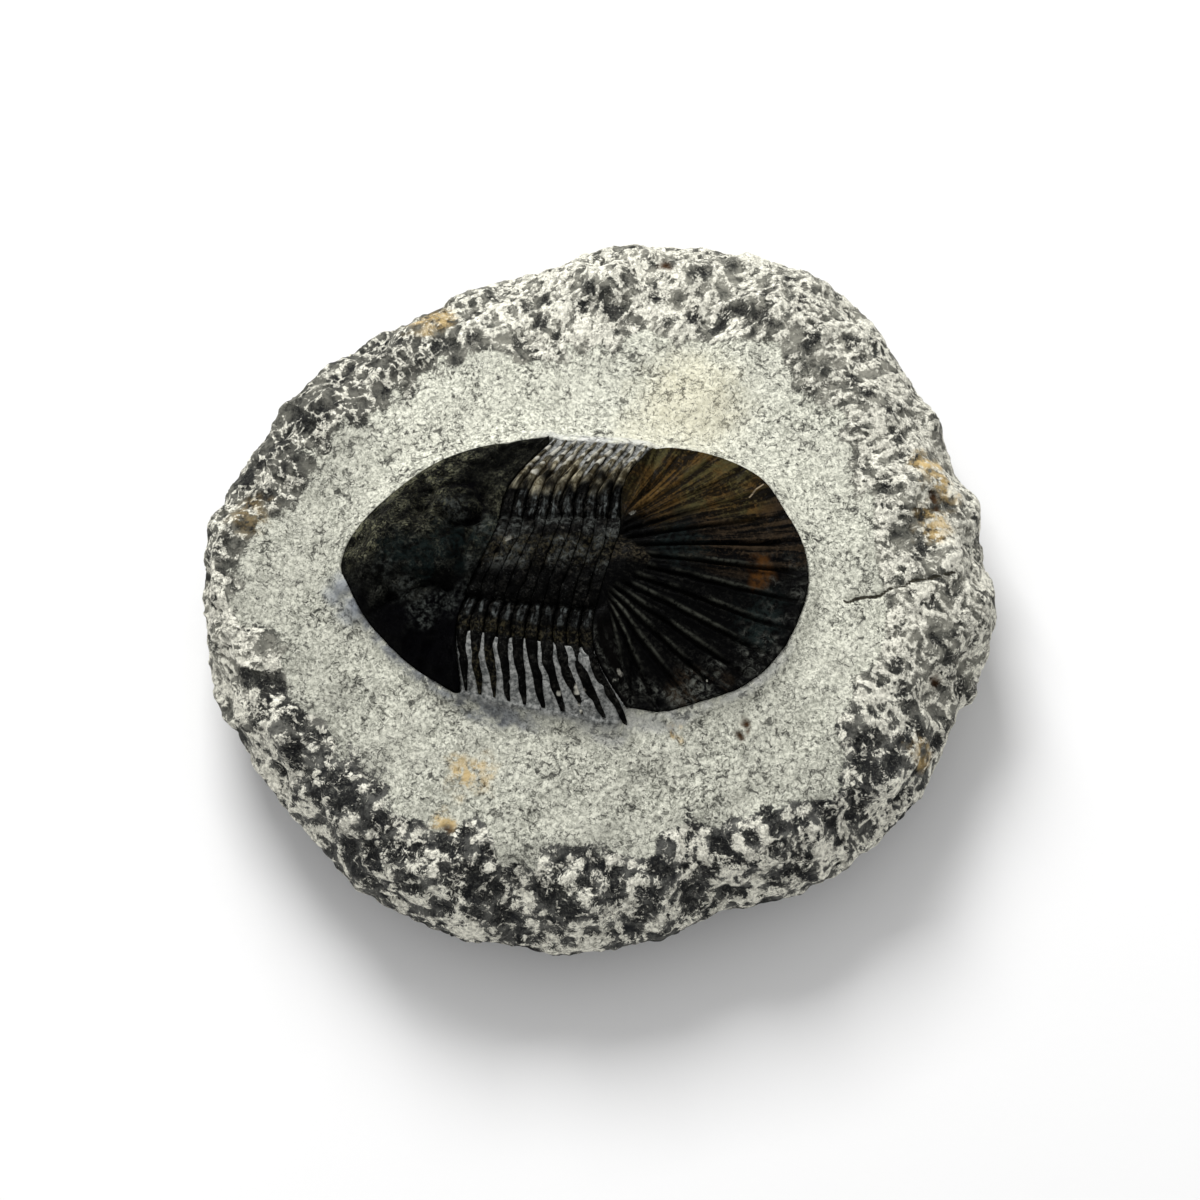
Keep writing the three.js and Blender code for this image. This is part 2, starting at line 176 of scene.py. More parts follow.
def spots(place, marks, uneven=0.0):
    """Each mark is x, y, radius and strength: its strength out to 0.3 of its radius, then eased down to
    0 at 1.3, by distance in the flat. Uneven is how far noise shifts the points, in millimetres."""
    x, y = place[..., 0], place[..., 1]
    if uneven:
        flat = level(place)
        x, y = x + uneven * grain(flat, 0.9, 5), y + uneven * grain(flat, 0.9, 6)
    value = np.zeros(x.shape)
    for mark_x, mark_y, radius, strength in marks:
        away = np.hypot(x - mark_x, y - mark_y)
        value = np.maximum(value, strength * ease(1.3 - away / radius))
    return value


def lines_near(place, lines, width):
    """1 along each bent line of points and 0 from this width away, by distance to its straight
    stretches, with the points shifted a little by noise."""
    value = np.zeros(place.shape[:-1])
    flat = level(place)
    place = place + 0.4 * width * np.stack([grain(flat, 1.2, 51), grain(flat, 1.2, 52)], axis=-1)
    for line in lines:
        for start, end in zip(np.array(line[:-1]), np.array(line[1:])):
            step = end - start
            share = np.clip(((place - start) @ step) / step.dot(step), 0, 1)[..., None]
            away = np.linalg.norm(place - start - share * step, axis=-1)
            value = np.maximum(value, np.clip(1 - away / width, 0, 1))
    return value


def shell(name, start, rings, end, **paint):
    """Closed mesh: equal closed rings of points joined by quads, with a point closing either end.
    The paint gives one number for each ring point, and becomes an attribute of the mesh."""
    count, around = rings.shape[:2]
    points = np.vstack([[start], rings.reshape(-1, 3), [end]])
    points = (points + ORIGIN_SHIFT) * MILLIMETRE
    here = 1 + np.arange(count * around).reshape(count, around)
    beside = np.roll(here, -1, axis=1)
    quads = np.stack([here[:-1], beside[:-1], beside[1:], here[1:]], axis=-1).reshape(-1, 4)
    first = np.stack([np.zeros(around, int), beside[0], here[0]], axis=-1)
    last = np.stack([here[-1], beside[-1], np.full(around, count * around + 1)], axis=-1)
    corners = np.concatenate([first.ravel(), quads.ravel(), last.ravel()])
    sizes = np.concatenate([np.full(around, 3), np.full(len(quads), 4), np.full(around, 3)])
    mesh = bpy.data.meshes.new(name)
    mesh.vertices.add(len(points))
    mesh.vertices.foreach_set("co", points.ravel())
    mesh.loops.add(len(corners))
    mesh.loops.foreach_set("vertex_index", corners.astype(np.int32))
    mesh.polygons.add(len(sizes))
    mesh.polygons.foreach_set("loop_start", (np.cumsum(sizes) - sizes).astype(np.int32))
    mesh.polygons.foreach_set("use_smooth", np.ones(len(sizes), bool))
    mesh.update(calc_edges=True)
    mesh.validate()
    for key, values in paint.items():
        values = np.broadcast_to(values, (count, around))
        flat = np.concatenate([[values[0].mean()], values.ravel(), [values[-1].mean()]])
        mesh.attributes.new(key, "FLOAT", "POINT").data.foreach_set("value", flat.astype(np.float32))
    piece = bpy.data.objects.new(name, mesh)
    bpy.context.collection.objects.link(piece)
    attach(piece, "root")
    return piece


def new_finish(name, roughness, specular):
    """A material with only its shader; roughness and specular level are set on the shader."""
    finish = bpy.data.materials.new(name)
    finish.use_nodes = True
    shader = finish.node_tree.nodes["Principled BSDF"]
    shader.inputs["Roughness"].default_value = roughness
    shader.inputs["Specular IOR Level"].default_value = specular
    return finish


def node(tree, kind, sockets, **settings):
    """Adds a node; a socket as a value is linked, and any other value is set."""
    made = tree.nodes.new("ShaderNode" + kind)
    for key, value in settings.items():
        setattr(made, key, value)
    for key, value in sockets.items():
        if isinstance(value, bpy.types.NodeSocket):
            tree.links.new(value, made.inputs[key])
        else:
            made.inputs[key].default_value = value
    return made


def read(finish, name):
    """A mesh attribute."""
    return node(finish.node_tree, "Attribute", {}, attribute_name=name).outputs["Fac"]


def speckle(finish, size, detail=3, rough=0.55, warp=0.0):
    """Noise with features of about this many millimetres, between 0 and 1."""
    place = node(finish.node_tree, "TexCoord", {}).outputs["Object"]
    sockets = {"Vector": place, "Scale": 1 / (size * MILLIMETRE), "Detail": detail,
               "Roughness": rough, "Distortion": warp}
    return node(finish.node_tree, "TexNoise", sockets).outputs["Fac"]


def window(value, low, high):
    """0 below low, 1 above high, eased between; low may be the greater."""
    sockets = {"Value": value, "From Min": low, "From Max": high}
    return node(value.id_data, "MapRange", sockets, interpolation_type="SMOOTHSTEP").outputs["Result"]


def dapple(finish, low, high, *noise):
    """Noise eased from 0 at low to 1 at high; the rest is as for speckle."""
    return window(speckle(finish, *noise), low, high)


def reckon(operation, first, *others):
    """Takes the numbers together, one after another; the first is a node's."""
    for value in others:
        first = node(first.id_data, "Math", {0: first, 1: value}, operation=operation).outputs[0]
    return first


def product(*values):
    """The numbers multiplied."""
    return reckon("MULTIPLY", *values)


def total(*values):
    """The numbers added."""
    return reckon("ADD", *values)


def tint(share, first, second):
    """This share of the way from the first colour to the second."""
    tree = share.id_data
    made = node(tree, "Mix", {0: share}, data_type="RGBA")
    for socket, value in ((made.inputs[6], first), (made.inputs[7], second)):
        if isinstance(value, bpy.types.NodeSocket):
            tree.links.new(value, socket)
        else:
            socket.default_value = (*value, 1)
    return made.outputs[2]


def complete(finish, colour, relief, depth, roughness=None):
    """Links the colour, the relief as a bump of this depth in millimetres, and the roughness."""
    tree = finish.node_tree
    shader = tree.nodes["Principled BSDF"]
    tree.links.new(colour, shader.inputs["Base Color"])
    bump = node(tree, "Bump", {"Height": relief, "Strength": 1, "Distance": depth * MILLIMETRE})
    tree.links.new(bump.outputs["Normal"], shader.inputs["Normal"])
    if roughness is not None:
        tree.links.new(roughness, shader.inputs["Roughness"])


def dress(piece, finish, solid):
    """Gives a piece its finish, and lets it stand for the solid of this name, which it hides."""
    piece.data.materials.append(finish)
    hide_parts(solid)


# Crumbs of pale stone that stayed on the thorax: place, radius and paleness
THORAX_CRUMBS = [
    [-9.7, 6.9, 0.55, 0.5], [-4.6, 2.5, 0.55, 0.7], [-9.9, 3.6, 0.7, 0.55], [2.9, 4.9, 0.5, 0.9],
    [4.6, 4.0, 0.5, 0.7], [-6.0, -3.2, 0.55, 0.5], [-9.7, -3.4, 0.55, 0.4], [-7.6, -4.1, 0.45, 0.35],
    [-10.3, 1.4, 0.8, 0.8], [-9.0, 10.4, 0.6, 0.9], [-8.1, 11.2, 0.8, 1], [-7.2, 10.1, 0.7, 1],
    [3.6, -1.0, 0.35, 0.6], [-4.2, -15.0, 0.6, 1], [-2.0, -15.0, 0.7, 1], [-2.4, -17.0, 0.7, 1],
    [-5.6, -11.5, 0.4, 0.6], [-12.2, 2.0, 0.5, 0.35], [-1.5, 3.4, 0.9, 0.35], [-7.0, 3.8, 0.8, 0.4],
    [-9.8, -1.4, 0.5, 0.35], [-3.4, 14.2, 0.8, 0.9], [-0.6, 13.0, 0.9, 0.9], [1.4, 12.4, 0.8, 1],
    [2.6, 13.8, 1.0, 0.9], [3.3, 11.6, 0.8, 0.8], [-5.2, 13.2, 0.5, 0.8], [-2.0, 12.0, 0.4, 0.6],
]
# A segment's profile from front to rear: places along it, and heights on the axis, pleura and spine
SECTION = np.array([-1, -1, -0.93, -0.8, -0.64, -0.46, -0.26, -0.06, 0.14, 0.34, 0.54, 0.7, 0.84,
                    0.95, 1, 1])
AXIS_SECTION = np.array([0, -0.3, -0.26, -0.2, -0.1, 0.0, 0.08, 0.13, 0.15, 0.14, 0.11, 0.07, 0.03,
                         -0.03, -0.12, 0])
PLEURA_SECTION = np.array([0, -0.45, -0.35, -0.2, -0.05, 0.1, 0.2, 0.2, 0.1, 0.04, 0.1, 0.12, 0.06,
                           -0.04, -0.2, 0])
SPINE_SECTION = np.array([0, -0.5, -0.16, 0.0, 0.1, 0.17, 0.22, 0.25, 0.24, 0.2, 0.14, 0.08,
                          0.0, -0.14, -0.5, 0])


def streaks(finish, across, along, fine, long):
    """Noise drawn out along a piece: fine is how many streaks fit in one unit of the attribute across
    it, and long how many of their lengths fit in one unit of the attribute along it."""
    place = node(finish.node_tree, "CombineXYZ", {"X": product(read(finish, across), fine),
                                                  "Y": product(read(finish, along), long)})
    sockets = {"Vector": place.outputs[0], "Scale": 1.0, "Detail": 3,
               "Roughness": 0.6, "Distortion": 0.3}
    return node(finish.node_tree, "TexNoise", sockets).outputs["Fac"]


def crumbs_over(finish, colour):
    """Pale stone over the shell where the crumb attribute and noise together pass a level."""
    share = total(read(finish, "crumb"), speckle(finish, 0.4, 6, 0.8, 0.8))
    return tint(window(share, 1.1, 1.6), colour, (0.40, 0.39, 0.335))


def coat(finish, colour, name, tone, *shares):
    """Lays a tone over the colour as far as the attribute of this name and the shares say."""
    return tint(product(read(finish, name), *shares), colour, tone)


finish = new_finish("thorax_shell", 0.42, 0.022)
mottle = dapple(finish, 0.46, 0.72, 0.45, 5, 0.7, 0.6)
broad = dapple(finish, 0.35, 0.65, 2.2, 3)
colour = tint(product(mottle, broad), (0.0006, 0.0006, 0.0006), (0.022, 0.021, 0.018))
# Painted highlight: bluish-grey streaks on the segments' crests where the slate attribute says, broken
# up by noise.
slats = window(streaks(finish, "band", "across", 1.6, 5.0), 0.42, 0.6)
worn = dapple(finish, 0.36, 0.66, 0.6, 5, 0.7, 0.5)
colour = coat(finish, colour, "slate", (0.125, 0.138, 0.135), slats, worn)
patches = dapple(finish, 0.44, 0.66, 0.9, 6, 0.78, 1.0)
colour = coat(finish, colour, "mottled", (0.066, 0.071, 0.066), patches)
fleck = dapple(finish, 0.58, 0.68, 0.22, 4, 0.7, 1.0)
fleck = product(fleck, dapple(finish, 0.4, 0.65, 2.0, 3), 0.5)
colour = tint(fleck, colour, (0.12, 0.125, 0.115))
colour = coat(finish, colour, "olive", (0.040, 0.034, 0.018), mottle)
cream = dapple(finish, 0.4, 0.62, 0.9, 5, 0.7, 0.5)
tan_tone = tint(cream, (0.080, 0.064, 0.034), (0.36, 0.33, 0.235))
grained = window(streaks(finish, "band", "across", 1.2, 3.0), 0.3, 0.62)
colour = coat(finish, colour, "tan", tan_tone, grained)
colour = crumbs_over(finish, colour)
gloss = dapple(finish, 0.1, 0.9, 0.8, 3)
complete(finish, colour, speckle(finish, 0.35, 4, 0.65, 0.5), 0.15, gloss)

WANDER = 0.2         # how far a joint strays from its even line
CRUMB_RISE = 0.12
w = np.linspace(-1.995, 1.995, 300)[:, None]
half = segment_half(w)
aside = np.abs(w)
for number in range(1, SEGMENTS + 1):
    along = number - 0.5 + half * SECTION
    place = thorax_point(along, w)
    wander = ease((along - 0.2) / 0.8) * ease((SEGMENTS - 0.2 - along) / 0.8)
    place = place + (WANDER * wander * grain(level(place), 1.5, 8))[..., None] * [1, 0.15]
    axis = ease((AXIS_SHARE + 0.02 - aside) / 0.05)
    spine = ease((aside - 1.0) / 0.15)
    profile = AXIS_SECTION * axis
    profile = profile + (1 - axis) * (PLEURA_SECTION * (1 - spine) + SPINE_SECTION * spine)
    profile = profile * np.clip(half / 0.36, 0.1, 1) * np.where(spine > 0, 1, 0.75)
    height = MARGIN_HEIGHT + pleura_height(w) + AXIS_RISE * lobe(w, AXIS_SHARE) - 0.25 + profile
    height = height - 0.35 * bell((aside - AXIS_SHARE - 0.03) / 0.035)
    joined = level(place)
    flat = joined + (height + number * 5)[..., None] * [0, 0, 1]   # each segment has its own noise
    height = height + 0.3 * grain(joined, 2.6, 9) * ease((1.1 - aside) / 0.2)
    height = height + 0.2 * grain(flat, 1.4, 10) + 0.15 * grain(flat, 0.7, 11)
    height = height + 0.08 * grain(flat, 0.35, 12)
    crumb = spots(place, THORAX_CRUMBS, 0.55)
    height = height + CRUMB_RISE * crumb
    height[:, [0, -1]] = PLATE_BASE
    rings = np.concatenate([place, height[..., None]], axis=-1)
    upper = ease((w - 1.0 + 0.2 * grain(flat, 1.2, 18) + 0.2 * grain(joined, 2.4, 19)) / 0.34)
    chalky = ease((w - 1.15) / 0.5) * ease(0.4 + 1.4 * grain(flat, 0.7, 13))
    tan = upper * np.clip(0.75 + 0.8 * grain(flat, 1.4, 14), 0, 1)
    # Painted highlight: the slate attribute marks the crest of each segment's section, on the upper
    # pleurae and as short dashes on the lower flank.
    lit = (SECTION > -0.3) * (SECTION < 0.6)
    mottled = ease((w + 0.3) / 0.3) * ease((0.66 - w) / 0.1) * ease(0.8 + 1.5 * grain(joined, 1.3, 16))
    broken = ease(0.75 + 1.3 * grain(joined, 1.1, 17))
    slate = 0.75 * ease((w - 0.5) / 0.1) * ease((1.04 - w) / 0.1) * lit * broken
    dash = ease((-0.58 - w) / 0.05) * ease((w + 0.88) / 0.08) * lit * ease(0.7 + grain(flat, 1.5, 15))
    olive = ease((-0.82 - w) / 0.1) * ease((w + 1.1) / 0.06)
    olive = olive + 0.8 * ease((w + 0.25) / 0.3) * ease((0.35 - w) / 0.1)
    if number in (2, 3):
        olive = olive + 1.2 * ease((-1.25 - w) / 0.1)
    first, last = (0.5 * (rings[i, 0] + rings[i, 7]) for i in (0, -1))
    piece = shell(f"segment_{number:02d}", first, rings, last, tan=tan, olive=olive, mottled=mottled,
                  slate=np.maximum(slate, 0.7 * dash), crumb=np.maximum(crumb, 1.15 * upper * chalky),
                  across=w, band=number * 3 + SECTION)
    dress(piece, finish, f"thoracic_segment_{number:02d}")

# Head
# The cephalon: one swollen shield, a glabella that widens forwards between two eye mounds, a free
# margin that rests in the stone and a rear edge that meets the first segment.
HEAD_MARGIN = [
    [-5.7, 15.1], [-10.1, 14.5], [-14.5, 13.6], [-18.9, 11.7], [-23.3, 8.3], [-26.5, 5.0],
    [-28.2, 2.2], [-28.7, -0.4], [-27.6, -2.9], [-25.7, -6.3], [-21.5, -10.9], [-17.9, -13.5],
    [-15.9, -14.6],
]
HEAD_CENTRE = np.array([-19.5, 0.0])
HEAD_DOME = 4.2
HEAD_RINGS = 96
FREE_EDGE = 0.3
EYE_PLACE = (-4.9, 5.9)   # along and across, in the head's own coordinates


def smooth_curve(points, count, closed=False):
    """Points at equal steps along a smooth curve through the given ones. Each stretch is a cubic, and
    its end slopes come from the chords beside it, each divided by the square root of its length."""
    points = np.array(points, float)
    if closed:
        before, start, end, after = (np.roll(points, -i, axis=0) for i in (-1, 0, 1, 2))
    else:
        line = np.vstack([2 * points[0] - points[1], points, 2 * points[-1] - points[-2]])
        before, start, end, after = line[:-3], line[1:-2], line[2:-1], line[3:]
    a, b, c = (np.sqrt(np.linalg.norm(q - p, axis=1))[:, None]
               for p, q in ((before, start), (start, end), (end, after)))
    leave = ((start - before) / a - (end - before) / (a + b) + (end - start) / b) * b
    arrive = ((end - start) / b - (after - start) / (b + c) + (after - end) / c) * b
    s = np.linspace(0, 1, 60, endpoint=False)[:, None, None]
    curve = cubic(start, leave, end, arrive, s).transpose(1, 0, 2).reshape(-1, 2)
    curve = np.vstack([curve, curve[:1] if closed else points[-1:]])
    length = np.concatenate([[0], np.cumsum(np.linalg.norm(np.diff(curve, axis=0), axis=1))])
    wanted = np.linspace(0, length[-1], count, endpoint=not closed)
    return np.stack([np.interp(wanted, length, curve[:, i]) for i in range(2)], axis=-1)


def shield(name, outline, centre, count, height, **paint):
    """A shield over a star-shaped outline: flat underside, a wall up, then rings in to the centre."""
    shares = np.linspace(1, 0.01, count)[:, None]
    place = centre + (outline - centre) * shares[..., None]
    top = height(place, shares)
    lower = np.concatenate([outline, np.full((len(outline), 1), PLATE_BASE)], axis=1)
    inner = np.concatenate([centre + 0.5 * (outline - centre), lower[:, 2:]], axis=1)
    rings = np.concatenate([inner[None], lower[None], np.concatenate([place, top[..., None]], axis=-1)])
    full = {key: np.concatenate([value[:1], value[:1], value]) for key, value in paint.items()}
    middle = np.array([*centre, top[-1].mean()])
    return shell(name, np.array([*centre, PLATE_BASE]), rings, middle, **full)


def edge_heights(count, w):
    """Heights round a shield over its margin: low along the free part of this many points, then the
    pleura's along the joint, each the mean of nine neighbours."""
    edge = np.concatenate([np.full(count, FREE_EDGE), pleura_height(w)])
    return np.convolve(np.concatenate([edge[-4:], edge, edge[:4]]), np.ones(9) / 9, "valid")


head_joint_w = np.linspace(-1.95, 1.95, 150)
head_joint = thorax_point(-0.5 * SHOWN_GAP / JOINT_SPACING, head_joint_w)
head_free = smooth_curve(HEAD_MARGIN, 290)
head_outline = np.vstack([head_free, head_joint])
head_edge = edge_heights(len(head_free), head_joint_w)


def head_place(place):
    """Oblique coordinates of the head: u back along the body from the first joint, v across."""
    back, across = np.array([0.997, -0.072]), np.array([0.324, 0.946])
    dx, dy = place[..., 0] - FIRST_JOINT[1, 0], place[..., 1] - FIRST_JOINT[1, 1]
    cross = back[0] * across[1] - back[1] * across[0]
    return (dx * across[1] - dy * across[0]) / cross, (back[0] * dy - back[1] * dx) / cross


def glabella_half(u):
    """Half-width of the glabella: narrow between the eyes, swollen at the front."""
    stations, widths = np.array([-14.6, -12, -8, -4, 0]), np.array([3.5, 7.8, 5.0, 3.7, 4.6])
    index = np.clip(np.searchsorted(stations, u) - 1, 0, 3)
    share = ease((u - stations[index]) / (stations[index + 1] - stations[index]))
    half = widths[index] + (widths[index + 1] - widths[index]) * share
    return np.where(u <= stations[0], 0.01, half)


HEAD_CRUMBS = [
    [-24.4, -2.0, 0.4, 0.5], [-12.0, -1.4, 0.5, 0.6], [-14.0, -4.0, 0.6, 0.7], [-14.8, -6.1, 0.5, 0.4],
    [-15.1, -3.1, 0.35, 0.5], [-21.5, -3.8, 0.45, 0.4], [-14.9, -4.6, 0.3, 0.4], [-25.6, -1.4, 0.5, 0.4],
    [-16.8, -9.0, 0.3, 0.3], [-23.8, 1.2, 0.4, 0.3], [-13.1, 9.2, 0.3, 0.3],
]


def eye_reach(u, v):
    """Distance from the middle of the nearer eye."""
    return np.hypot((u - EYE_PLACE[0]) / 1.15, np.abs(v) - EYE_PLACE[1])


def head_worn(flat):
    """Lumps of the worn shell, about 2.2, 1.1 and 0.55 mm across."""
    return 0.34 * grain(flat, 2.2, 21) + 0.27 * grain(flat, 1.1, 22) + 0.16 * grain(flat, 0.55, 23)


def head_height(place, share):
    """Dome, plus the lobe of the glabella, the eye mounds and the lumps of the worn surface, less the
    furrows round the glabella, the eyes and the neck, and a crease at the front."""
    u, v = head_place(place)
    flat = level(place)
    drift = 0.5 * grain(flat, 2.6, 20)
    dome = head_edge + (HEAD_DOME - head_edge) * (1 - share**2.6)
    half = glabella_half(u)
    glabella = AXIS_RISE * lobe(v, half) ** 1.5 * ease((u + 14.8) / 3)
    furrow = 0.4 * bell((np.abs(v) - half - 0.15 + drift) / 0.4) * ease((u + 11) / 3) * ease(-u / 2)
    reach = eye_reach(u, v) + drift
    eye = np.where(v > 0, 1.3, 1.0) * bell(reach / 2.1)
    furrow = furrow + 0.5 * bell((reach - 2.9) / 0.5) * ease((v + 8) / 3)
    furrow = furrow + 0.5 * bell((u + 2.2) / 0.6) * share
    furrow = furrow + 0.25 * bell((u + 1.9 + drift) / 0.3) * lobe(v, 9)
    crease = 0.5 * bell((place[..., 1] + 2.9 + 0.8 * drift) / 0.5) * ease((-20.5 - place[..., 0]) / 2)
    worn = (head_worn(flat) + 0.07 * grain(flat, 0.3, 24)) * ease((1 - share) / 0.08)
    crumb = 0.2 * spots(place, HEAD_CRUMBS, 0.35)
    return MARGIN_HEIGHT + dome + glabella + eye - furrow - crease + worn + crumb


head_shares = np.linspace(1, 0.01, HEAD_RINGS)[:, None]
head_at = HEAD_CENTRE + (head_outline - HEAD_CENTRE) * head_shares[..., None]
x, y = head_at[..., 0], head_at[..., 1]
u, v = head_place(head_at)
flat = level(head_at)
broad = 0.7 * grain(flat, 4.0, 25) + 0.4 * grain(flat, 1.8, 26)
olive = ease((v + 0.5 + 2.5 * broad) / 6) * (0.45 + 0.55 * ease((-13.5 - x + 2 * broad) / 5))
rim = ease((head_shares - 0.72 + 0.1 * broad) / 0.15) * ease((y - 2) / 3) * ease((-12 - x) / 4)
front = ease((-22 - x + broad) / 3) * ease((y + 1.5 + broad) / 2)
olive = np.maximum(olive, 1.5 * np.maximum(rim, front))
# Painted shade: the head's lower side and the furrow round the upper eye are made near black.
black = ease((-2.5 - y + 2.2 * broad) / 3.5)
socket = bell((eye_reach(u, v) + 0.5 * grain(flat, 2.6, 20) - 2.8) / 0.7)
black = np.maximum(black, 0.9 * socket * ease(v) * ease((v + u + 0.4) / 2))
teal = spots(head_at, [[-17.0, 1.3, 2.6, 1], [-12.3, 2.1, 2.6, 1], [-22.4, 0.2, 2.4, 0.8],
                       [-19.6, -0.9, 2.6, 1], [-15.5, -0.5, 2.0, 0.6]], 0.45)
slate = spots(head_at, [[-21.5, -3.8, 1.3, 0.8], [-19.7, -6.3, 2.0, 1], [-17.3, -5.2, 1.8, 1],
                        [-14.5, -4.5, 1.5, 0.8], [-16.3, 5.0, 2.0, 0.6], [-12.6, 3.4, 1.4, 0.8],
                        [-11.9, 0.3, 1.2, 0.6], [-23.4, -1.2, 1.6, 0.6], [-13.4, -1.6, 1.3, 0.6]], 0.6)
# Painted light and shade on the lumps: the last attribute is high where the worn lumps stand up and low
# in the hollows between them.
head = shield("head", head_outline, HEAD_CENTRE, HEAD_RINGS, head_height, olive=olive, black=black,
              teal=teal, slate=slate, crumb=spots(head_at, HEAD_CRUMBS, 0.35),
              raised=ease(0.35 + 1.3 * head_worn(flat)))

finish = new_finish("head_shell", 0.4, 0.022)
mottle = dapple(finish, 0.46, 0.64, 0.6, 7, 0.82, 1.6)
patch = dapple(finish, 0.34, 0.66, 2.4, 4, 0.6, 0.5)
# Painted highlight on the high lumps of the shell and painted shade in the hollows between them: the
# attribute made from the lumps' height lightens the colour.
raised = total(product(read(finish, "raised"), 1.5), 0.25)
colour = tint(product(mottle, patch, raised), (0.0007, 0.0008, 0.0007), (0.058, 0.060, 0.049))
grained = window(total(mottle, product(patch, 0.7)), 0.6, 1.5)
colour = coat(finish, colour, "olive", (0.180, 0.177, 0.108), raised, grained)
fleck = dapple(finish, 0.56, 0.66, 0.22, 4, 0.7, 1.0)
colour = tint(product(fleck, patch, raised, 0.55), colour, (0.105, 0.110, 0.094))
stained = dapple(finish, 0.38, 0.64, 1.2, 4, 0.6, 1.0)
colour = coat(finish, colour, "teal", (0.010, 0.020, 0.020), stained, 0.5)
# Painted shade, near black, on the head's lower side and round the upper eye.
colour = coat(finish, colour, "black", (0.0006, 0.0005, 0.0011), 0.92)
grained = dapple(finish, 0.44, 0.7, 0.6, 5, 0.7)
colour = coat(finish, colour, "slate", (0.090, 0.100, 0.092), grained)
scratch = dapple(finish, 0.60, 0.68, 0.28, 3, 0.6, 3.0)
colour = coat(finish, colour, "olive", (0.32, 0.32, 0.25), scratch, patch, 0.7)
colour = crumbs_over(finish, colour)
gloss = dapple(finish, 0.1, 0.9, 0.8, 3)
complete(finish, colour, speckle(finish, 0.5, 6, 0.75, 1.4), 0.38, gloss)
dress(head, finish, "cephalon")

# Tail
# The pygidium: a broad low fan, with a short three-sided axis at the front and fifteen flat ribs
# that spread to the margin between narrow furrows.
TAIL_MARGIN = [
    [2.9, -16.4], [6.4, -16.8], [11.5, -15.5], [16.1, -13.7], [19.8, -10.1], [22.0, -5.9],
    [23.1, -1.8], [22.5, 2.6], [20.7, 6.2], [18.2, 10.0], [13.6, 12.6], [8.0, 13.8], [5.9, 13.6],
]
TAIL_CENTRE = np.array([4.0, -0.9])
TAIL_DOME = 4.3
TAIL_RINGS = 110
RIB_COUNT = 15
RIB_COLUMNS = 28
RAYS = 150
RIB_DEPTH = 0.5
LOWER_FOCUS = np.array([-0.1, -2.2])   # the ribs spread as if from these
REAR_FOCUS = np.array([-4.9, 0.0])
UPPER_FOCUS = np.array([1.2, 1.0])

tail_joint_w = np.linspace(1.86, -1.72, 90)
tail_joint = thorax_point(SEGMENTS + 0.5 * SHOWN_GAP / JOINT_SPACING, tail_joint_w)
tail_free = smooth_curve(TAIL_MARGIN, RIB_COUNT * RIB_COLUMNS + 1)
tail_outline = np.vstack([tail_free, tail_joint])
tail_edge = edge_heights(len(tail_free), tail_joint_w)


def rib_field(place):
    """How many ribs lie between a point and the lower front corner, and how wide a rib is there. Rays
    run from the free margin towards a focus that moves from the lower to the rear to the upper one,
    and the signed distances to the rays on both sides of the point give its number and the width."""
    turn = np.linspace(-1, 1, RAYS + 1)[:, None]
    side = np.where(turn < 0, LOWER_FOCUS, UPPER_FOCUS)
    focus = REAR_FOCUS + (side - REAR_FOCUS) * turn**2
    way = smooth_curve(TAIL_MARGIN, RAYS + 1) - focus
    way = way / np.linalg.norm(way, axis=-1, keepdims=True)
    x, y = place[..., 0, None] - focus[:, 0], place[..., 1, None] - focus[:, 1]
    aside = way[:, 0] * y - way[:, 1] * x
    before = np.clip((aside > 0).sum(axis=-1) - 1, 0, RAYS - 1)[..., None]
    near = np.take_along_axis(aside, before, -1)[..., 0]
    step = np.maximum(near - np.take_along_axis(aside, before + 1, -1)[..., 0], 0.02)
    number = (before[..., 0] + np.clip(near / step, 0, 1)) * RIB_COUNT / RAYS
    return number, step * RAYS / RIB_COUNT


TAIL_CRUMBS = [
    [9.8, 9.8, 0.22, 0.7], [11.4, 9.8, 0.22, 0.7], [6.3, 7.9, 0.22, 0.8], [11.6, -13.4, 0.22, 1],
    [10.0, -14.9, 0.3, 0.7], [2.0, -13.0, 0.8, 0.85], [1.6, -13.9, 0.5, 0.8], [6.1, -14.0, 0.4, 0.6],
    [8.9, 6.6, 0.3, 0.5], [6.9, -12.9, 0.35, 0.5], [17.1, -5.0, 0.2, 0.6], [9.2, -15.8, 0.5, 0.6],
    [7.3, -10.7, 0.25, 0.5], [3.4, 5.0, 0.5, 0.8],
]


def off_axis(place):
    """0 on the three-sided axis and 1 outside it, eased over its flanks."""
    u, v = place[..., 0] - LAST_JOINT[1, 0], place[..., 1] - LAST_JOINT[1, 1]
    half = np.maximum(0.2, 3.6 - 0.62 * u)
    return ease((np.abs(v) - half + 0.5) / 0.8 + np.clip(u - 4.1, 0, 9))


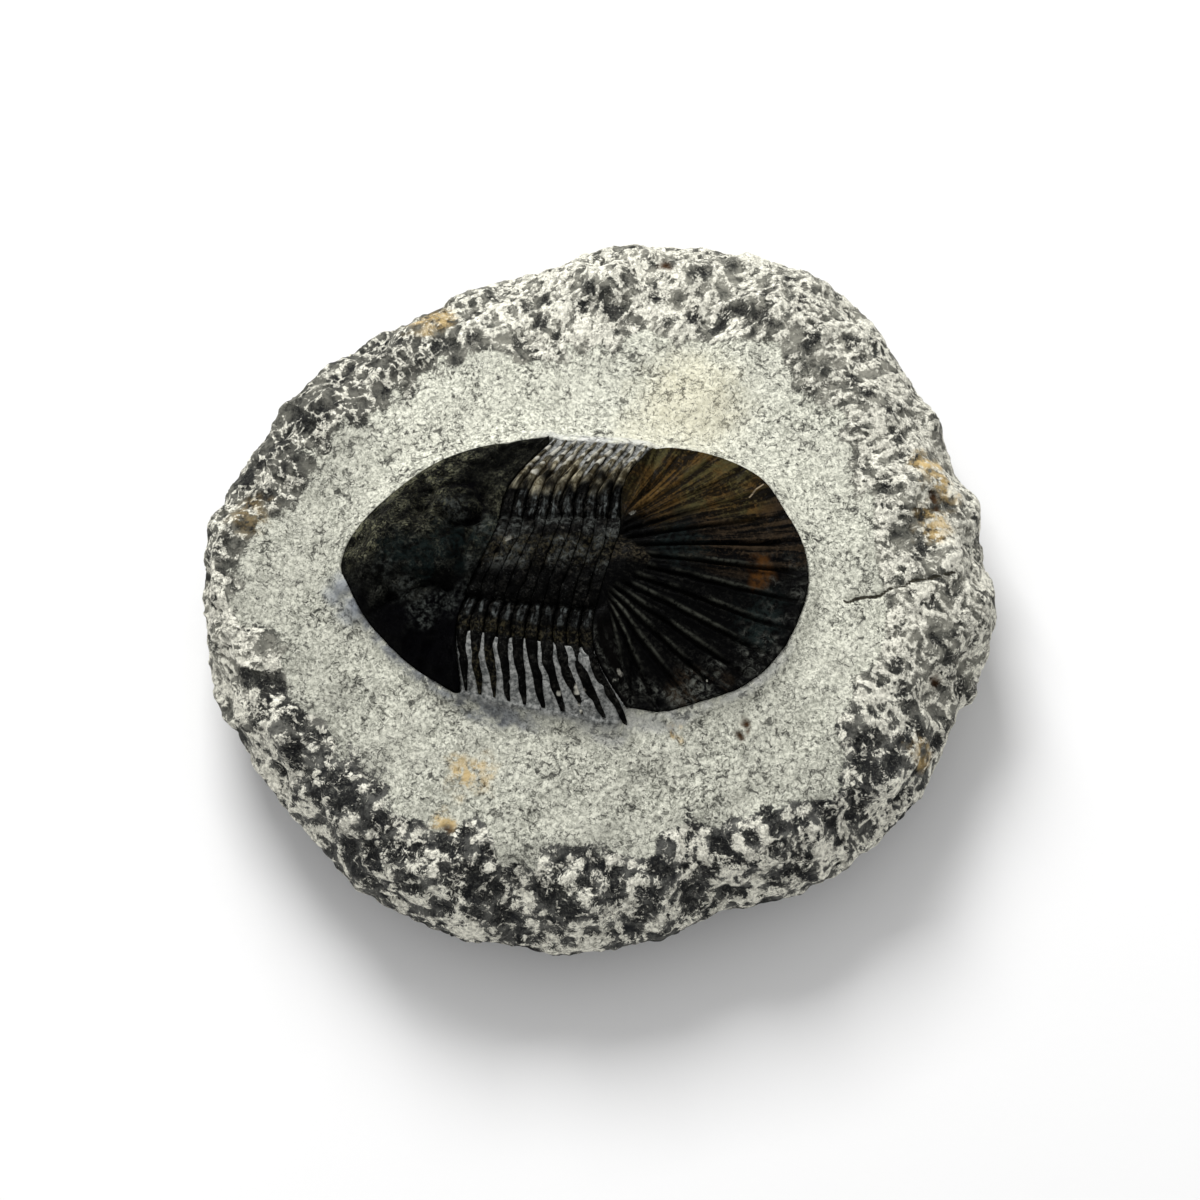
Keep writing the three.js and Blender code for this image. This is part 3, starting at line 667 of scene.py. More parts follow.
def tail_height(place, share):
    """Dome falling to the margin, plus the low axis and small lumps, less the furrows between the ribs:
    each a narrow groove that fades at the hub and near the margin, beside a rib edge standing up."""
    fall = (1 - share) ** 2 * (1 + 2 * share)
    dome = tail_edge + (TAIL_DOME - tail_edge) * fall
    u, v = place[..., 0] - LAST_JOINT[1, 0], place[..., 1] - LAST_JOINT[1, 1]
    axis = AXIS_RISE * lobe(v, np.maximum(0.5, 4.6 - 0.75 * u)) ** 2.5 * ease(1 - u / 6)
    flat = level(place)
    number, width = rib_field(place)
    aside = np.abs(number - np.round(number)) * width * (1 + 0.25 * grain(flat, 2.5, 30))
    groove = bell(aside / (0.14 + 0.08 * share))
    rim = 0.3 * bell((aside - 0.5) / 0.2)
    deep = 1 - 0.8 * ease((share - 0.82 + 0.08 * grain(flat, 2.0, 34)) / 0.16)
    deep = deep * off_axis(place) * (1 - 0.6 * ease((place[..., 1] - 3) / 3))
    deep = deep * ease((width - 0.25) / 0.5)
    furrow = RIB_DEPTH * (groove - rim) * deep
    worn = 0.10 * grain(flat, 1.9, 31) + 0.07 * grain(flat, 0.8, 32) + 0.04 * grain(flat, 0.4, 33)
    crumb = 0.1 * spots(place, TAIL_CRUMBS, 0.5)
    return MARGIN_HEIGHT + dome + axis - furrow + worn * ease((1 - share) / 0.05) + crumb


tail_shares = np.linspace(1, 0.01, TAIL_RINGS)[:, None]
tail_at = TAIL_CENTRE + (tail_outline - TAIL_CENTRE) * tail_shares[..., None]
rib_number, rib_width = rib_field(tail_at)
rib_turn = rib_number % 1
rib_side = np.minimum(rib_turn, 1 - rib_turn)   # 0 in a furrow, 0.5 along a rib's middle
flat = level(tail_at)
broad = grain(flat, 3.5, 35) + 0.5 * grain(flat, 1.4, 36)
x, y = tail_at[..., 0], tail_at[..., 1]
amber = ease((y - 3.6 + 1.2 * broad) / 3.5) * ease((21 - x + broad) / 5) * ease((x - 0.5 + broad) / 3)
brown = ease((x - 8 + broad) / 5) * ease((y + 2.5 + 1.2 * broad) / 3)
brown = np.maximum(brown, spots(tail_at, [[9.8, -14.4, 2.4, 0.9], [13.0, -14.0, 1.8, 0.6]], 0.5))
teal = spots(tail_at, [[17.5, -7.0, 3.0, 1], [9.0, 1.4, 3.0, 0.8], [19.0, -4.5, 2.0, 0.7]], 0.5)
rust = spots(tail_at, [[18.1, -1.4, 1.5, 1], [17.9, -0.2, 1.3, 0.9], [17.2, -2.7, 1.0, 0.8]], 0.6)
slate = ease((-6 - y + 2 * broad) / 4) * ease((tail_shares - 0.66 + 0.08 * broad) / 0.16)
slate = np.maximum(slate, 0.6 * ease((x - 17 + broad) / 3) * ease((2 - y) / 3))
# Painted shade: the furrows between the ribs are made near black, less so near the margin and on the
# upper side.
groove = bell(rib_side * rib_width / (0.12 + 0.1 * tail_shares)) * off_axis(tail_at)
groove *= ease((rib_width - 0.2) / 0.5)
groove *= (1 - 0.75 * ease((tail_shares - 0.86) / 0.12)) * (1 - 0.45 * ease((y - 3) / 3))
# Painted highlight: a light line along one edge of each rib on the lower half, fading out towards the
# margin.
edge_light = bell((rib_turn * rib_width - 0.4) / 0.14) * ease((rib_width - 0.4) / 0.5)
edge_light *= off_axis(tail_at) * ease((1.5 - y) / 2.5) * (1 - ease((tail_shares - 0.5) / 0.35))
edge_light *= ease(1.0 + broad)
hub = (1 - off_axis(tail_at)) * ease((y + 2.5 + broad) / 1.5) * ease((6.5 - x) / 2)
scratch = lines_near(tail_at, [[(16.7, 7.8), (17.5, 8.9), (18.3, 9.5)]], 0.24)
tail = shield("tail", tail_outline, TAIL_CENTRE, TAIL_RINGS, tail_height, amber=amber, brown=brown,
              scratch=scratch, teal=teal, rust=rust, slate=slate, furrow=groove, hub=hub,
              rib_edge=edge_light, crumb=spots(tail_at, TAIL_CRUMBS, 0.5), ray=rib_number,
              reach=np.broadcast_to(tail_shares, x.shape))

finish = new_finish("tail_shell", 0.42, 0.022)
mottle = dapple(finish, 0.44, 0.74, 0.4, 5, 0.72, 0.6)
grooved = window(streaks(finish, "ray", "reach", 4.0, 2.5), 0.36, 0.66)
colour = tint(product(mottle, grooved), (0.0007, 0.0007, 0.0008), (0.012, 0.0118, 0.010))
both = total(mottle, grooved)
colour = coat(finish, colour, "brown", (0.028, 0.019, 0.011), window(both, 0.2, 1.5))
colour = coat(finish, colour, "amber", (0.0065, 0.0045, 0.002), 0.8)
olive_to_orange = dapple(finish, 0.38, 0.6, 3.5, 4, 0.6, 0.5)
amber_tone = tint(olive_to_orange, (0.058, 0.051, 0.020), (0.082, 0.046, 0.013))
colour = coat(finish, colour, "amber", amber_tone, window(both, 0.15, 1.5))
slats = window(streaks(finish, "ray", "reach", 1.3, 5.0), 0.42, 0.6)
worn = dapple(finish, 0.44, 0.68, 0.8, 6, 0.75, 0.8)
colour = coat(finish, colour, "slate", (0.090, 0.094, 0.082), slats, worn)
stained = dapple(finish, 0.3, 0.65, 0.9, 4)
colour = coat(finish, colour, "rust", (0.054, 0.022, 0.005), stained)
stained = dapple(finish, 0.4, 0.62, 1.0, 5, 0.7, 0.6)
colour = coat(finish, colour, "teal", (0.012, 0.020, 0.019), stained, 0.55)
# Painted shade in the furrows between the ribs.
colour = coat(finish, colour, "furrow", (0.0008, 0.0006, 0.0005), 0.85)
colour = coat(finish, colour, "hub", (0.052, 0.043, 0.026), mottle)
# Painted highlight along the rib edges, broken up by noise.
worn = dapple(finish, 0.3, 0.6, 0.5, 4, 0.6)
colour = coat(finish, colour, "rib_edge", (0.060, 0.062, 0.050), worn)
colour = tint(window(read(finish, "scratch"), 0.45, 1.0), colour, (0.30, 0.24, 0.16))
colour = crumbs_over(finish, colour)
gloss = dapple(finish, 0.1, 0.9, 0.8, 3)
complete(finish, colour, speckle(finish, 0.3, 4, 0.6, 0.5), 0.07, gloss)
dress(tail, finish, "pygidium")

# Stone
# The limestone that the fossil lies in: a loose oval lump with a flat resting face, cleared by hand
# tools round the fossil and left rough and dark with pale bruises on its rim.
STONE_OUTLINE = [
    [44.7, -2.9], [43.6, 4.2], [43.1, 10.1], [40.1, 15.7], [38.7, 20.8], [34.6, 27.5],
    [31.6, 32.6], [25.5, 38.1], [21.0, 40.4], [11.0, 42.4], [2.2, 42.2], [-7.5, 39.5],
    [-18.2, 34.9], [-28.6, 29.2], [-34.5, 24.1], [-39.3, 17.7], [-42.8, 10.2], [-44.6, 4.1],
    [-44.0, -7.2], [-42.1, -14.5], [-39.5, -19.0], [-33.4, -26.7], [-26.2, -34.4], [-16.9, -39.0],
    [-9.0, -40.7], [-1.4, -41.1], [6.1, -39.9], [11.8, -37.2], [22.2, -34.3], [29.7, -29.5],
    [35.1, -24.6], [39.4, -16.0], [42.3, -10.8],
]
STONE_COLUMNS = 760
BRUISES = 4200
BRUISE_LENGTHS, BRUISE_HALF_WIDTHS = (0.8, 3.0), (0.16, 0.34)
LOW_LENGTHS, LOW_HALF_WIDTHS = (0.2, 1.4), (0.18, 0.5)   # on the side towards the camera
BROAD_SHARE, BROAD_HALF_WIDTHS = 0.08, (0.7, 1.2)        # a few of these are broad
BRUISE_ROWS, BRUISE_COLUMNS = 8, 12   # a bruise is looked for this many grid points either way
# Dark blotches of the rim, read off the photograph in its pixels: across, down and radius
DARK_BLOTCHES = [
    [245, 680, 12], [277, 685, 16], [265, 705, 13], [297, 725, 12], [312, 740, 10], [290, 755, 14],
    [282, 768, 10], [335, 785, 20], [345, 800, 16], [375, 785, 12], [395, 785, 10], [318, 795, 10],
    [385, 825, 14], [350, 845, 12], [370, 850, 10], [395, 855, 14], [415, 855, 12], [440, 825, 10],
    [455, 845, 14], [470, 830, 9], [462, 875, 20], [480, 890, 14], [500, 885, 10], [410, 890, 14],
    [375, 882, 10], [490, 855, 10], [505, 840, 10], [525, 830, 9], [545, 840, 10], [520, 865, 10],
    [560, 870, 9], [550, 890, 18], [570, 910, 12], [590, 885, 10], [500, 915, 12], [470, 910, 10],
    [600, 860, 10], [615, 875, 12], [640, 855, 11], [665, 870, 10], [685, 865, 8], [690, 888, 10],
    [640, 915, 12], [692, 907, 13], [710, 865, 12], [720, 845, 12], [735, 860, 10], [735, 892, 12],
    [770, 810, 12], [780, 830, 10], [755, 835, 8], [775, 848, 9], [805, 865, 16], [775, 880, 10],
    [830, 795, 14], [850, 795, 9], [855, 810, 10], [830, 820, 10], [840, 840, 10], [870, 740, 12],
    [865, 760, 14], [880, 770, 14], [890, 755, 12], [905, 788, 14], [920, 770, 8], [915, 725, 9],
    [880, 710, 9], [935, 740, 10], [905, 690, 8], [895, 663, 12], [940, 640, 9], [950, 655, 9],
    [962, 685, 11], [220, 560, 9], [232, 575, 10], [246, 570, 11], [250, 505, 12], [265, 495, 9],
    [245, 480, 12], [260, 465, 10], [280, 442, 13], [303, 420, 12], [322, 408, 10], [335, 380, 10],
    [350, 365, 10], [385, 395, 9], [380, 345, 10], [435, 350, 11], [470, 340, 9], [500, 355, 10],
    [520, 340, 10], [540, 320, 12], [550, 300, 12], [560, 340, 10], [580, 310, 12], [592, 290, 12],
    [610, 315, 14], [660, 300, 10], [690, 320, 12], [715, 325, 10], [740, 310, 10], [760, 320, 12],
    [800, 305, 10], [790, 275, 10], [700, 270, 9], [810, 340, 10], [850, 340, 10], [860, 360, 10],
    [850, 375, 12], [870, 390, 12], [890, 410, 12], [900, 435, 12], [900, 455, 10], [890, 490, 10],
    [920, 510, 10], [950, 505, 9], [930, 530, 10], [917, 552, 12], [940, 575, 9], [950, 592, 9],
    [912, 590, 9], [932, 602, 9],
]
PHOTO_WIDTH = 1200
CLEARED_SHARE = np.array([0.71, 0.74, 0.65, 0.78, 0.88, 0.8, 0.77, 0.8])   # extent of the cleared zone
EQUATOR_HEIGHT = 9
BASE_SHARE = 0.8
PLATEAU_HEIGHT = 20
POCKET_FLOOR = 19    # the stone under the plates, just below them
SHOULDER_DROP = 1
SHOULDER_START = np.array([0.765, 0.8, 0.77, 0.82, 0.94, 0.81, 0.7, 0.785])   # every 45 degrees
BODY_CENTRE = np.array([-2.5, -0.8])


def lumps(x, y, z):
    """Broad lumps and hollows of the broken surface: four waves 8 to 20 mm long, crossing."""
    return (0.45 * np.sin(0.31 * x + 0.17 * y + 0.4 * z + 1.1)
            + 0.4 * np.sin(-0.23 * x + 0.52 * y + 0.5 * z)
            + 0.35 * np.sin(0.62 * x - 0.41 * y + 0.7 * z + 2.3)
            + 0.3 * np.sin(0.5 * x + 0.6 * y - 0.6 * z + 4.0))


def lattice_share(place):
    """Where a point lies in the lattice of the thorax: t and w by Newton's method, from a first
    guess that reads them off the nearly straight rows."""
    x, y = place[..., 0], place[..., 1]
    w = np.interp(y, [-18, -9, -0.5, 7.7, 14.5], [-2, -1, 0, 1, 2])
    t = (x - np.interp(w, [-2, -1, 0, 1, 2], [-15.4, -15.8, -13.1, -10.5, -5.5])) / 1.45
    for _ in range(12):
        here = thorax_point(t, w)
        along = (thorax_point(t + 0.01, w) - here) / 0.01
        across = (thorax_point(t, w + 0.01) - here) / 0.01
        miss = place - here
        cross = along[..., 0] * across[..., 1] - along[..., 1] * across[..., 0]
        cross = np.where(np.abs(cross) < 0.5, 0.5, cross)
        dt = (miss[..., 0] * across[..., 1] - miss[..., 1] * across[..., 0]) / cross
        dw = (along[..., 0] * miss[..., 1] - along[..., 1] * miss[..., 0]) / cross
        t = np.clip(t + np.clip(dt, -2, 2), -12, 22)
        w = np.clip(w + np.clip(dw, -0.4, 0.4), -2.4, 2.4)
    return t, w


edge_x, edge_y = smooth_curve(STONE_OUTLINE, STONE_COLUMNS, closed=True).T
edge_turn = np.arctan2(edge_y, edge_x)
eighth = (edge_turn / (math.pi / 4)) % 8
before = np.floor(eighth).astype(int) % 8
onward = ease(eighth - np.floor(eighth))
start_share, cleared_share = (values[before] * (1 - onward) + values[(before + 1) % 8] * onward
                              for values in (SHOULDER_START, CLEARED_SHARE))

groups = []
for share in (0.25, 0.5, 0.75, 0.93):
    groups.append(layer(edge_x * BASE_SHARE * share, edge_y * BASE_SHARE * share, 0.0)[None])
turn = np.linspace(0, 1, 11, endpoint=False)[:, None] * math.pi / 2
rise = EQUATOR_HEIGHT * np.sin(0.8 * turn) / math.sin(0.4 * math.pi)
swell = 0.014 * np.cos(turn) * lumps(edge_x, edge_y, rise) * (turn > 0)
size = BASE_SHARE + (1 - BASE_SHARE) * np.sin(turn) + swell
groups.append(layer(edge_x * size, edge_y * size, rise))
turn = np.linspace(0, 1, 48)[:, None] * math.pi / 2
size = start_share + (1 - start_share) * np.cos(turn)
rise = EQUATOR_HEIGHT + (PLATEAU_HEIGHT - SHOULDER_DROP - EQUATOR_HEIGHT) * np.sin(turn)
lump = lumps(edge_x * size, edge_y * size, rise)
swell = size * (1 + 0.022 * np.sin(turn) * lump)
groups.append(layer(edge_x * swell, edge_y * swell, rise + 0.55 * lump * ease(turn / 0.4)))
shoulder = groups[-1][-1]

margin = np.vstack([HEAD_MARGIN, thorax_point(np.array([1, 3, 5, 7, 9]), -2), TAIL_MARGIN,
                    thorax_point(np.array([9, 7, 5, 3, 1]), 2)])
margin = smooth_curve(margin, 3000, closed=True) - BODY_CENTRE
margin_turn = np.arctan2(margin[:, 1], margin[:, 0])
order = np.argsort(margin_turn)
side_turn = np.arctan2(edge_y - BODY_CENTRE[1], edge_x - BODY_CENTRE[0])
side_radius = np.interp(side_turn, margin_turn[order], np.hypot(*margin.T)[order], period=2 * math.pi)


def body_ring(reach, height):
    """A ring at this distance from the middle of the fossil."""
    return layer(BODY_CENTRE[0] + reach * np.cos(side_turn), BODY_CENTRE[1] + reach * np.sin(side_turn),
                 height)


def near_fossil(offset, height):
    """A ring at this distance outside the fossil's margin."""
    return body_ring(side_radius + offset, height)


moat = near_fossil(4, PLATEAU_HEIGHT - 0.3)
share = np.linspace(0, 1, 28)[1:, None]
way = share[..., None]
flat = shoulder * (1 - way) + moat * way
flat[..., 2] += 0.4 * lumps(flat[..., 0], flat[..., 1], 0) * (4 * share * (1 - share)) ** 0.6
groups.append(flat)
tip_t, tip_w = lattice_share(near_fossil(0.0, 0.0)[..., :2])
at_spines = ease((tip_t + 0.4) / 0.8) * ease((10.4 - tip_t) / 0.8)
offset = np.array([3.4, 2.9, 2.4, 2.0, 1.7, 1.4, 1.15, 0.9, 0.7, 0.5, 0.3, 0.12])[:, None]
bank = np.interp(offset, [0, 0.5, 0.9, 1.4, 2.0, 3.0, 4.0], [21.3, 21.2, 20.95, 20.5, 20.1, 19.85, 19.7])
bank = bank + 0.7 * at_spines * ease((1.6 - offset) / 1.6)
groups.append(near_fossil(offset, bank))
inner_share = np.concatenate([np.linspace(0.999, 0.56, 26), [0.4, 0.2]])[:, None]
inner = body_ring(side_radius * inner_share, 0.0)
t, w = lattice_share(inner[..., :2])
worn = grain(level(inner), 1.5, 41)
between = ease((t + 0.1) / 0.2) * ease((10.1 - t) / 0.2) * ease((np.abs(w) - 1.0 - 0.05 * worn) / 0.08)
strip = MARGIN_HEIGHT + pleura_height(w) - 0.44
strip = strip + 0.10 * worn + 0.5 * ease((t - 7.0) / 1.2) * ease(-w) * ease(worn + 0.1)
strip = strip - 0.5 * ease(w) * ease((1.6 - w + 0.4 * worn) / 0.4)
inner[..., 2] = POCKET_FLOOR + (strip - POCKET_FLOOR) * between
groups.append(inner)
rings = np.concatenate(groups)
in_rows = len(inner)


def outward(rings):
    """Unit normals of a grid of closed rings, from the steps along and around."""
    along = np.gradient(rings, axis=0)
    around = np.roll(rings, -1, axis=1) - np.roll(rings, 1, axis=1)
    normal = np.cross(around, along)
    return normal / np.maximum(np.linalg.norm(normal, axis=-1, keepdims=True), 1e-9)


def photo_place(points):
    """Where points in millimetres are in the photograph, in its pixels."""
    up = np.array([0, math.sin(CAMERA_HEIGHT_ANGLE), math.cos(CAMERA_HEIGHT_ANGLE)])
    from_aim = points - np.array([0, 0, CAMERA_TARGET_HEIGHT])
    scale = CAMERA_LENS / SENSOR_WIDTH * PHOTO_WIDTH / (CAMERA_DISTANCE - from_aim @ np.array(back))
    return PHOTO_WIDTH / 2 + scale * from_aim[..., 0], PHOTO_WIDTH / 2 - scale * (from_aim @ up)


x, y, z = np.moveaxis(rings, -1, 0)
radius = np.hypot(x, y)
edge_radius = np.hypot(edge_x, edge_y)
ragged = 2.6 * grain(rings, 4.5, 42) + 2.0 * grain(rings, 1.8, 43)
prepared = ease((cleared_share * edge_radius - radius + ragged + 1.2) / 2.6) * ease((z - 15) / 2)
outer_row = len(rings) - in_rows - len(offset)
prepared[outer_row:] = 1

normal = outward(rings)
seen = (normal @ np.array(back) > 0.1) & (z > 2)
across_photo, down_photo = photo_place(rings)
blotch = np.zeros(x.shape)
shifted = rings + 0.9 * np.stack([grain(rings, 1.8, seed) for seed in (53, 54, 55)], axis=-1)
for across, down, reach in DARK_BLOTCHES:
    apart = np.where(seen, np.hypot(across_photo - across, down_photo - down), 9999)
    middle = rings[np.unravel_index(np.argmin(apart), apart.shape)]
    away = np.linalg.norm(shifted - middle, axis=-1) / (reach / 8.9)
    blotch = np.maximum(blotch, ease(1.35 - 0.85 * away) * (1.0 if down > 600 else 0.8))
# Painted shade: the same mask also darkens the rim low on the near side's wall.
blotch = np.maximum(blotch, 0.8 * ease((11 + grain(rings, 5, 56) - z) / 2) * ease((-y - 8) / 12))

# Bruises of the hammer and the point on the rim, each a short bent stroke of crushed pale stone
rng = np.random.default_rng(7)
bruise = np.zeros(x.shape)
rows = rng.integers(BRUISE_ROWS, outer_row, BRUISES)
columns = rng.integers(0, STONE_COLUMNS, BRUISES)
for row, column in zip(rows, columns):
    if prepared[row, column] > 0.75:
        continue
    here, up = rings[row, column], normal[row, column]
    low_side = here[1] < -12 and here[0] < 25
    outward_way = np.array([here[0], here[1], 0]) / max(np.hypot(here[0], here[1]), 1)
    outward_way = outward_way - up * outward_way.dot(up)
    outward_way = outward_way / max(np.linalg.norm(outward_way), 1e-6)
    sideways = np.cross(up, outward_way)
    lean = rng.normal(0, 0.8)
    way = outward_way * math.cos(lean) + sideways * math.sin(lean)
    cross_way = np.cross(up, way)
    length = rng.uniform(*(LOW_LENGTHS if low_side else BRUISE_LENGTHS))
    half_width = rng.uniform(*(LOW_HALF_WIDTHS if low_side else BRUISE_HALF_WIDTHS))
    bend = rng.uniform(-0.3, 0.3)
    if low_side and rng.random() < BROAD_SHARE:
        half_width = rng.uniform(*BROAD_HALF_WIDTHS)
    r0, r1 = max(row - BRUISE_ROWS, 0), min(row + BRUISE_ROWS + 1, len(rings))
    span = np.arange(column - BRUISE_COLUMNS, column + BRUISE_COLUMNS + 1) % STONE_COLUMNS
    patch = rings[r0:r1][:, span] - here
    along = patch @ way
    across = patch @ cross_way - bend * along**2
    away = np.hypot(np.maximum(np.abs(along) - length / 2, 0), across)
    value = ease(1.25 - 0.75 * away / half_width)
    block = bruise[r0:r1]
    block[:, span] = np.maximum(block[:, span], value)
bruise *= 1 - prepared

rim = (1 - prepared) * ease((z - 0.5) / 2)
crag = 0.3 - 0.8 * np.abs(grain(rings, 4.6, 44))
crag = crag + 0.26 * grain(rings, 1.7, 45) + 0.16 * grain(rings, 0.85, 46)
relief = rim * (crag + 0.2 * (bruise - 0.3) - 0.3 * blotch)
chips = 0.12 * grain(rings, 1.5, 47) + 0.13 * grain(rings, 0.7, 48)
relief += prepared * chips * (z > 17)
quiet = np.ones(len(rings))
quiet[outer_row:] = 0.5
quiet[-in_rows:] = 0.3
quiet[:4] = 0
rings = rings + normal * (relief * quiet[:, None])[..., None]

stone_at = np.stack([x, y], axis=-1)
bank_reach = 1.5 + 1.8 * spots(stone_at, [[-12.5, -17.5, 4.0, 1], [-7.5, -18.5, 3.0, 0.8],
                                          [4.0, -18.5, 7.0, 0.8]])
bank_share = np.zeros(x.shape)
bank_share[outer_row:-in_rows] = ease((bank_reach[outer_row:-in_rows] - offset) / 0.9)
bank_share[-in_rows:] = 1
between_spines = np.zeros(x.shape)
between_spines[-in_rows:] = between
between_spines[outer_row:-in_rows] = at_spines * ease((1.2 - offset) / 0.9) * (side_turn < 0)
ochre = spots(stone_at, [[-19.5, 31.6, 3.0, 0.8], [36.9, 13.2, 2.0, 1], [38.5, 10.8, 1.6, 1],
                         [37.8, 6.0, 2.2, 0.8], [-14.3, -23.2, 2.6, 0.9], [8.2, -19.2, 0.6, 1],
                         [35.6, -20.1, 1.4, 0.8], [-17.0, -28.2, 1.2, 0.9],
                         [-39.5, 7.0, 2.6, 0.3]], 1.0) * (z > 12)
pit = spots(stone_at, [[7.5, 37.5, 0.8, 1], [37.5, 9.4, 0.6, 1], [37.7, 8.1, 0.5, 1],
                       [16.0, -17.5, 0.6, 1], [15.4, -19.2, 0.5, 1], [8.2, -19.0, 0.4, 0.8],
                       [16.2, -18.4, 0.35, 0.9], [37.6, -11.8, 0.6, 1],
                       [-16.8, -29.3, 0.6, 1]], 0.4) * (z > 12)
crack = lines_near(stone_at, [[(27.5, -3.4), (30.6, -3.0), (33.4, -1.8), (37.3, -0.5),
                               (39.5, 0.4)]], 0.9)
thin_crack = lines_near(stone_at, [[(24.5, -10.2), (27.1, -12.4), (30.0, -15.4)]], 0.6)
crack = np.maximum(crack, 0.75 * thin_crack) * (z > 12)
rings[..., 2] -= 0.35 * ease((crack - 0.45) / 0.5)
warm = spots(stone_at, [[10.2, 20.2, 7.0, 1], [5.0, 16.0, 4.0, 0.6]], 1.0)
# Painted shade: a bluish-grey patch beside the front of the head, on the near side.
blue = spots(stone_at, [[-29.0, -2.6, 1.8, 1], [-27.6, -5.2, 1.6, 0.9]], 0.5)
# Where the bank gets its painted light and shade: the shaded copy of its tone on the near side, the lit
# copy on the far bank and below the tail.
near_side = ease((-1 - y) / 3) * ease((-4 - x) / 6)
far_bank = 0.9 * ease((y - 12) / 3) * ease(1.2 - np.abs(x - 0.5) / 9)
tail_bank = 0.6 * ease((-8 - y) / 3) * ease((x + 4) / 3)
bank_share = bank_share * np.maximum(near_side, np.maximum(far_bank, tail_bank))
rings[..., 2] -= 0.5 * pit
rings[..., 2] += 0.9 * blue * (bank_share > 0) * (between_spines == 0) * (z > 19.6)
upper_strip = np.zeros(x.shape)
upper_strip[-in_rows:] = ease(w) * ease((1.62 - w + 0.4 * worn) / 0.3)
# Painted shade in these attributes: low grows towards the near side, and the one for x below -22 darkens
# the far left.
stone = shell("stone", np.zeros(3), rings, np.array([*BODY_CENTRE, POCKET_FLOOR]), bruise=bruise,
              prepared=prepared, bank=bank_share, strip=between_spines, ochre=ochre, pit=pit, warm=warm,
              blue=blue, low=ease((-y - 5) / 20), near_side=near_side, brown=upper_strip, crack=crack,
              blotch=blotch * (1 - prepared), grey=ease((-22 - x) / 8),
              left=ease((-10 - x) / 12) * ease((y + 6) / 12))

finish = new_finish("matrix_stone", 0.85, 0.2)
below = read(finish, "low")
at_left = read(finish, "left")
blotched = read(finish, "blotch")
bruised = read(finish, "bruise")

patchy = dapple(finish, 0.36, 0.64, 2.2, 6, 0.68, 0.5)
# Painted shade: the rim's dark and pale tones both darken towards the near side, by the attribute low.
dark = tint(below, (0.030, 0.031, 0.027), (0.007, 0.008, 0.009))
pale = tint(below, (0.25, 0.245, 0.205), (0.11, 0.11, 0.10))
rim_colour = tint(patchy, dark, pale)
torn = speckle(finish, 0.7, 7, 0.82, 1.0)
stray = product(reckon("SUBTRACT", torn, 0.5), 3.2)
grit = dapple(finish, 0.47, 0.70, 0.5, 6, 0.8, 0.8)
grit = tint(grit, (0.003, 0.0035, 0.0045), (0.115, 0.116, 0.100))
# The blotch mask carries the dark blotches and the painted shade low on the near side.
rim_colour = tint(product(window(total(blotched, stray), 0.4, 0.6), 0.9), rim_colour, grit)
rim_colour = tint(product(at_left, 0.45), rim_colour, grit)
cluster = total(product(speckle(finish, 6, 3), 0.9), product(torn, 3.2))
cluster = reckon("SUBTRACT", cluster, product(at_left, 0.28), product(blotched, 0.44))
chalk = window(total(product(bruised, 0.6), cluster), 2.28, 2.44)
stroke = window(total(bruised, product(stray, 0.55)), 0.86, 1.0)
chalk = reckon("MAXIMUM", chalk, product(stroke, at_left, 0.8))
crumbly = dapple(finish, 0.36, 0.62, 0.45, 4, 0.7)
chalk_colour = tint(crumbly, (0.42, 0.41, 0.35), (0.90, 0.88, 0.76))
rim_colour = tint(chalk, rim_colour, chalk_colour)
chip = reckon("SUBTRACT", speckle(finish, 1.1, 5, 0.75, 0.8), product(at_left, 0.07))
rim_colour = tint(product(window(chip, 0.585, 0.635), 0.75), rim_colour, chalk_colour)

broad = product(speckle(finish, 4.5, 3), 0.30)
flakes = window(total(speckle(finish, 0.8, 6, 0.76, 1.0), broad), 0.475, 0.60)
tone = dapple(finish, 0.35, 0.65, 5, 4)
hollow_tone = tint(tone, (0.055, 0.056, 0.05), (0.17, 0.17, 0.145))
fine = dapple(finish, 0.36, 0.64, 0.4, 4, 0.7, 0.5)
flake_tone = tint(fine, (0.31, 0.315, 0.26), (0.84, 0.84, 0.715))
flake_tone = tint(product(tone, 0.3), flake_tone, (0.66, 0.655, 0.56))
cleared = tint(flakes, hollow_tone, flake_tone)
cleared = coat(finish, cleared, "warm", (0.70, 0.655, 0.47), 0.5)
curl = reckon("SUBTRACT", speckle(finish, 1.1, 4, 0.6, 1.5), 0.5)
veins = window(reckon("ABSOLUTE", curl, 0), 0.022, 0.008)
veins = product(veins, dapple(finish, 0.46, 0.52, 0.9, 3), 0.8)
cleared = tint(veins, cleared, (0.05, 0.05, 0.047))
pepper = dapple(finish, 0.59, 0.66, 0.45, 4, 0.7, 0.8)
cleared = tint(product(pepper, 0.85), cleared, (0.075, 0.075, 0.068))
soft = dapple(finish, 0.34, 0.66, 0.9, 5, 0.65)
# Lit and shaded copies of the bank's tone: painted shade on the near side, painted light on the rest of
# the bank.
shade_tone = tint(soft, (0.080, 0.086, 0.094), (0.31, 0.325, 0.33))
light_tone = tint(soft, (0.42, 0.43, 0.42), (0.74, 0.74, 0.70))
bank_tone = tint(read(finish, "near_side"), light_tone, shade_tone)
patchy = dapple(finish, 0.3, 0.6, 1.5, 4)
cleared = coat(finish, cleared, "bank", bank_tone, patchy)
fine = dapple(finish, 0.35, 0.65, 0.5, 4, 0.65)
cleared = coat(finish, cleared, "strip", tint(fine, (0.075, 0.08, 0.078), (0.32, 0.325, 0.31)))
fine = dapple(finish, 0.4, 0.65, 0.7, 4, 0.65)
cleared = coat(finish, cleared, "brown", tint(fine, (0.012, 0.010, 0.007), (0.12, 0.095, 0.055)))
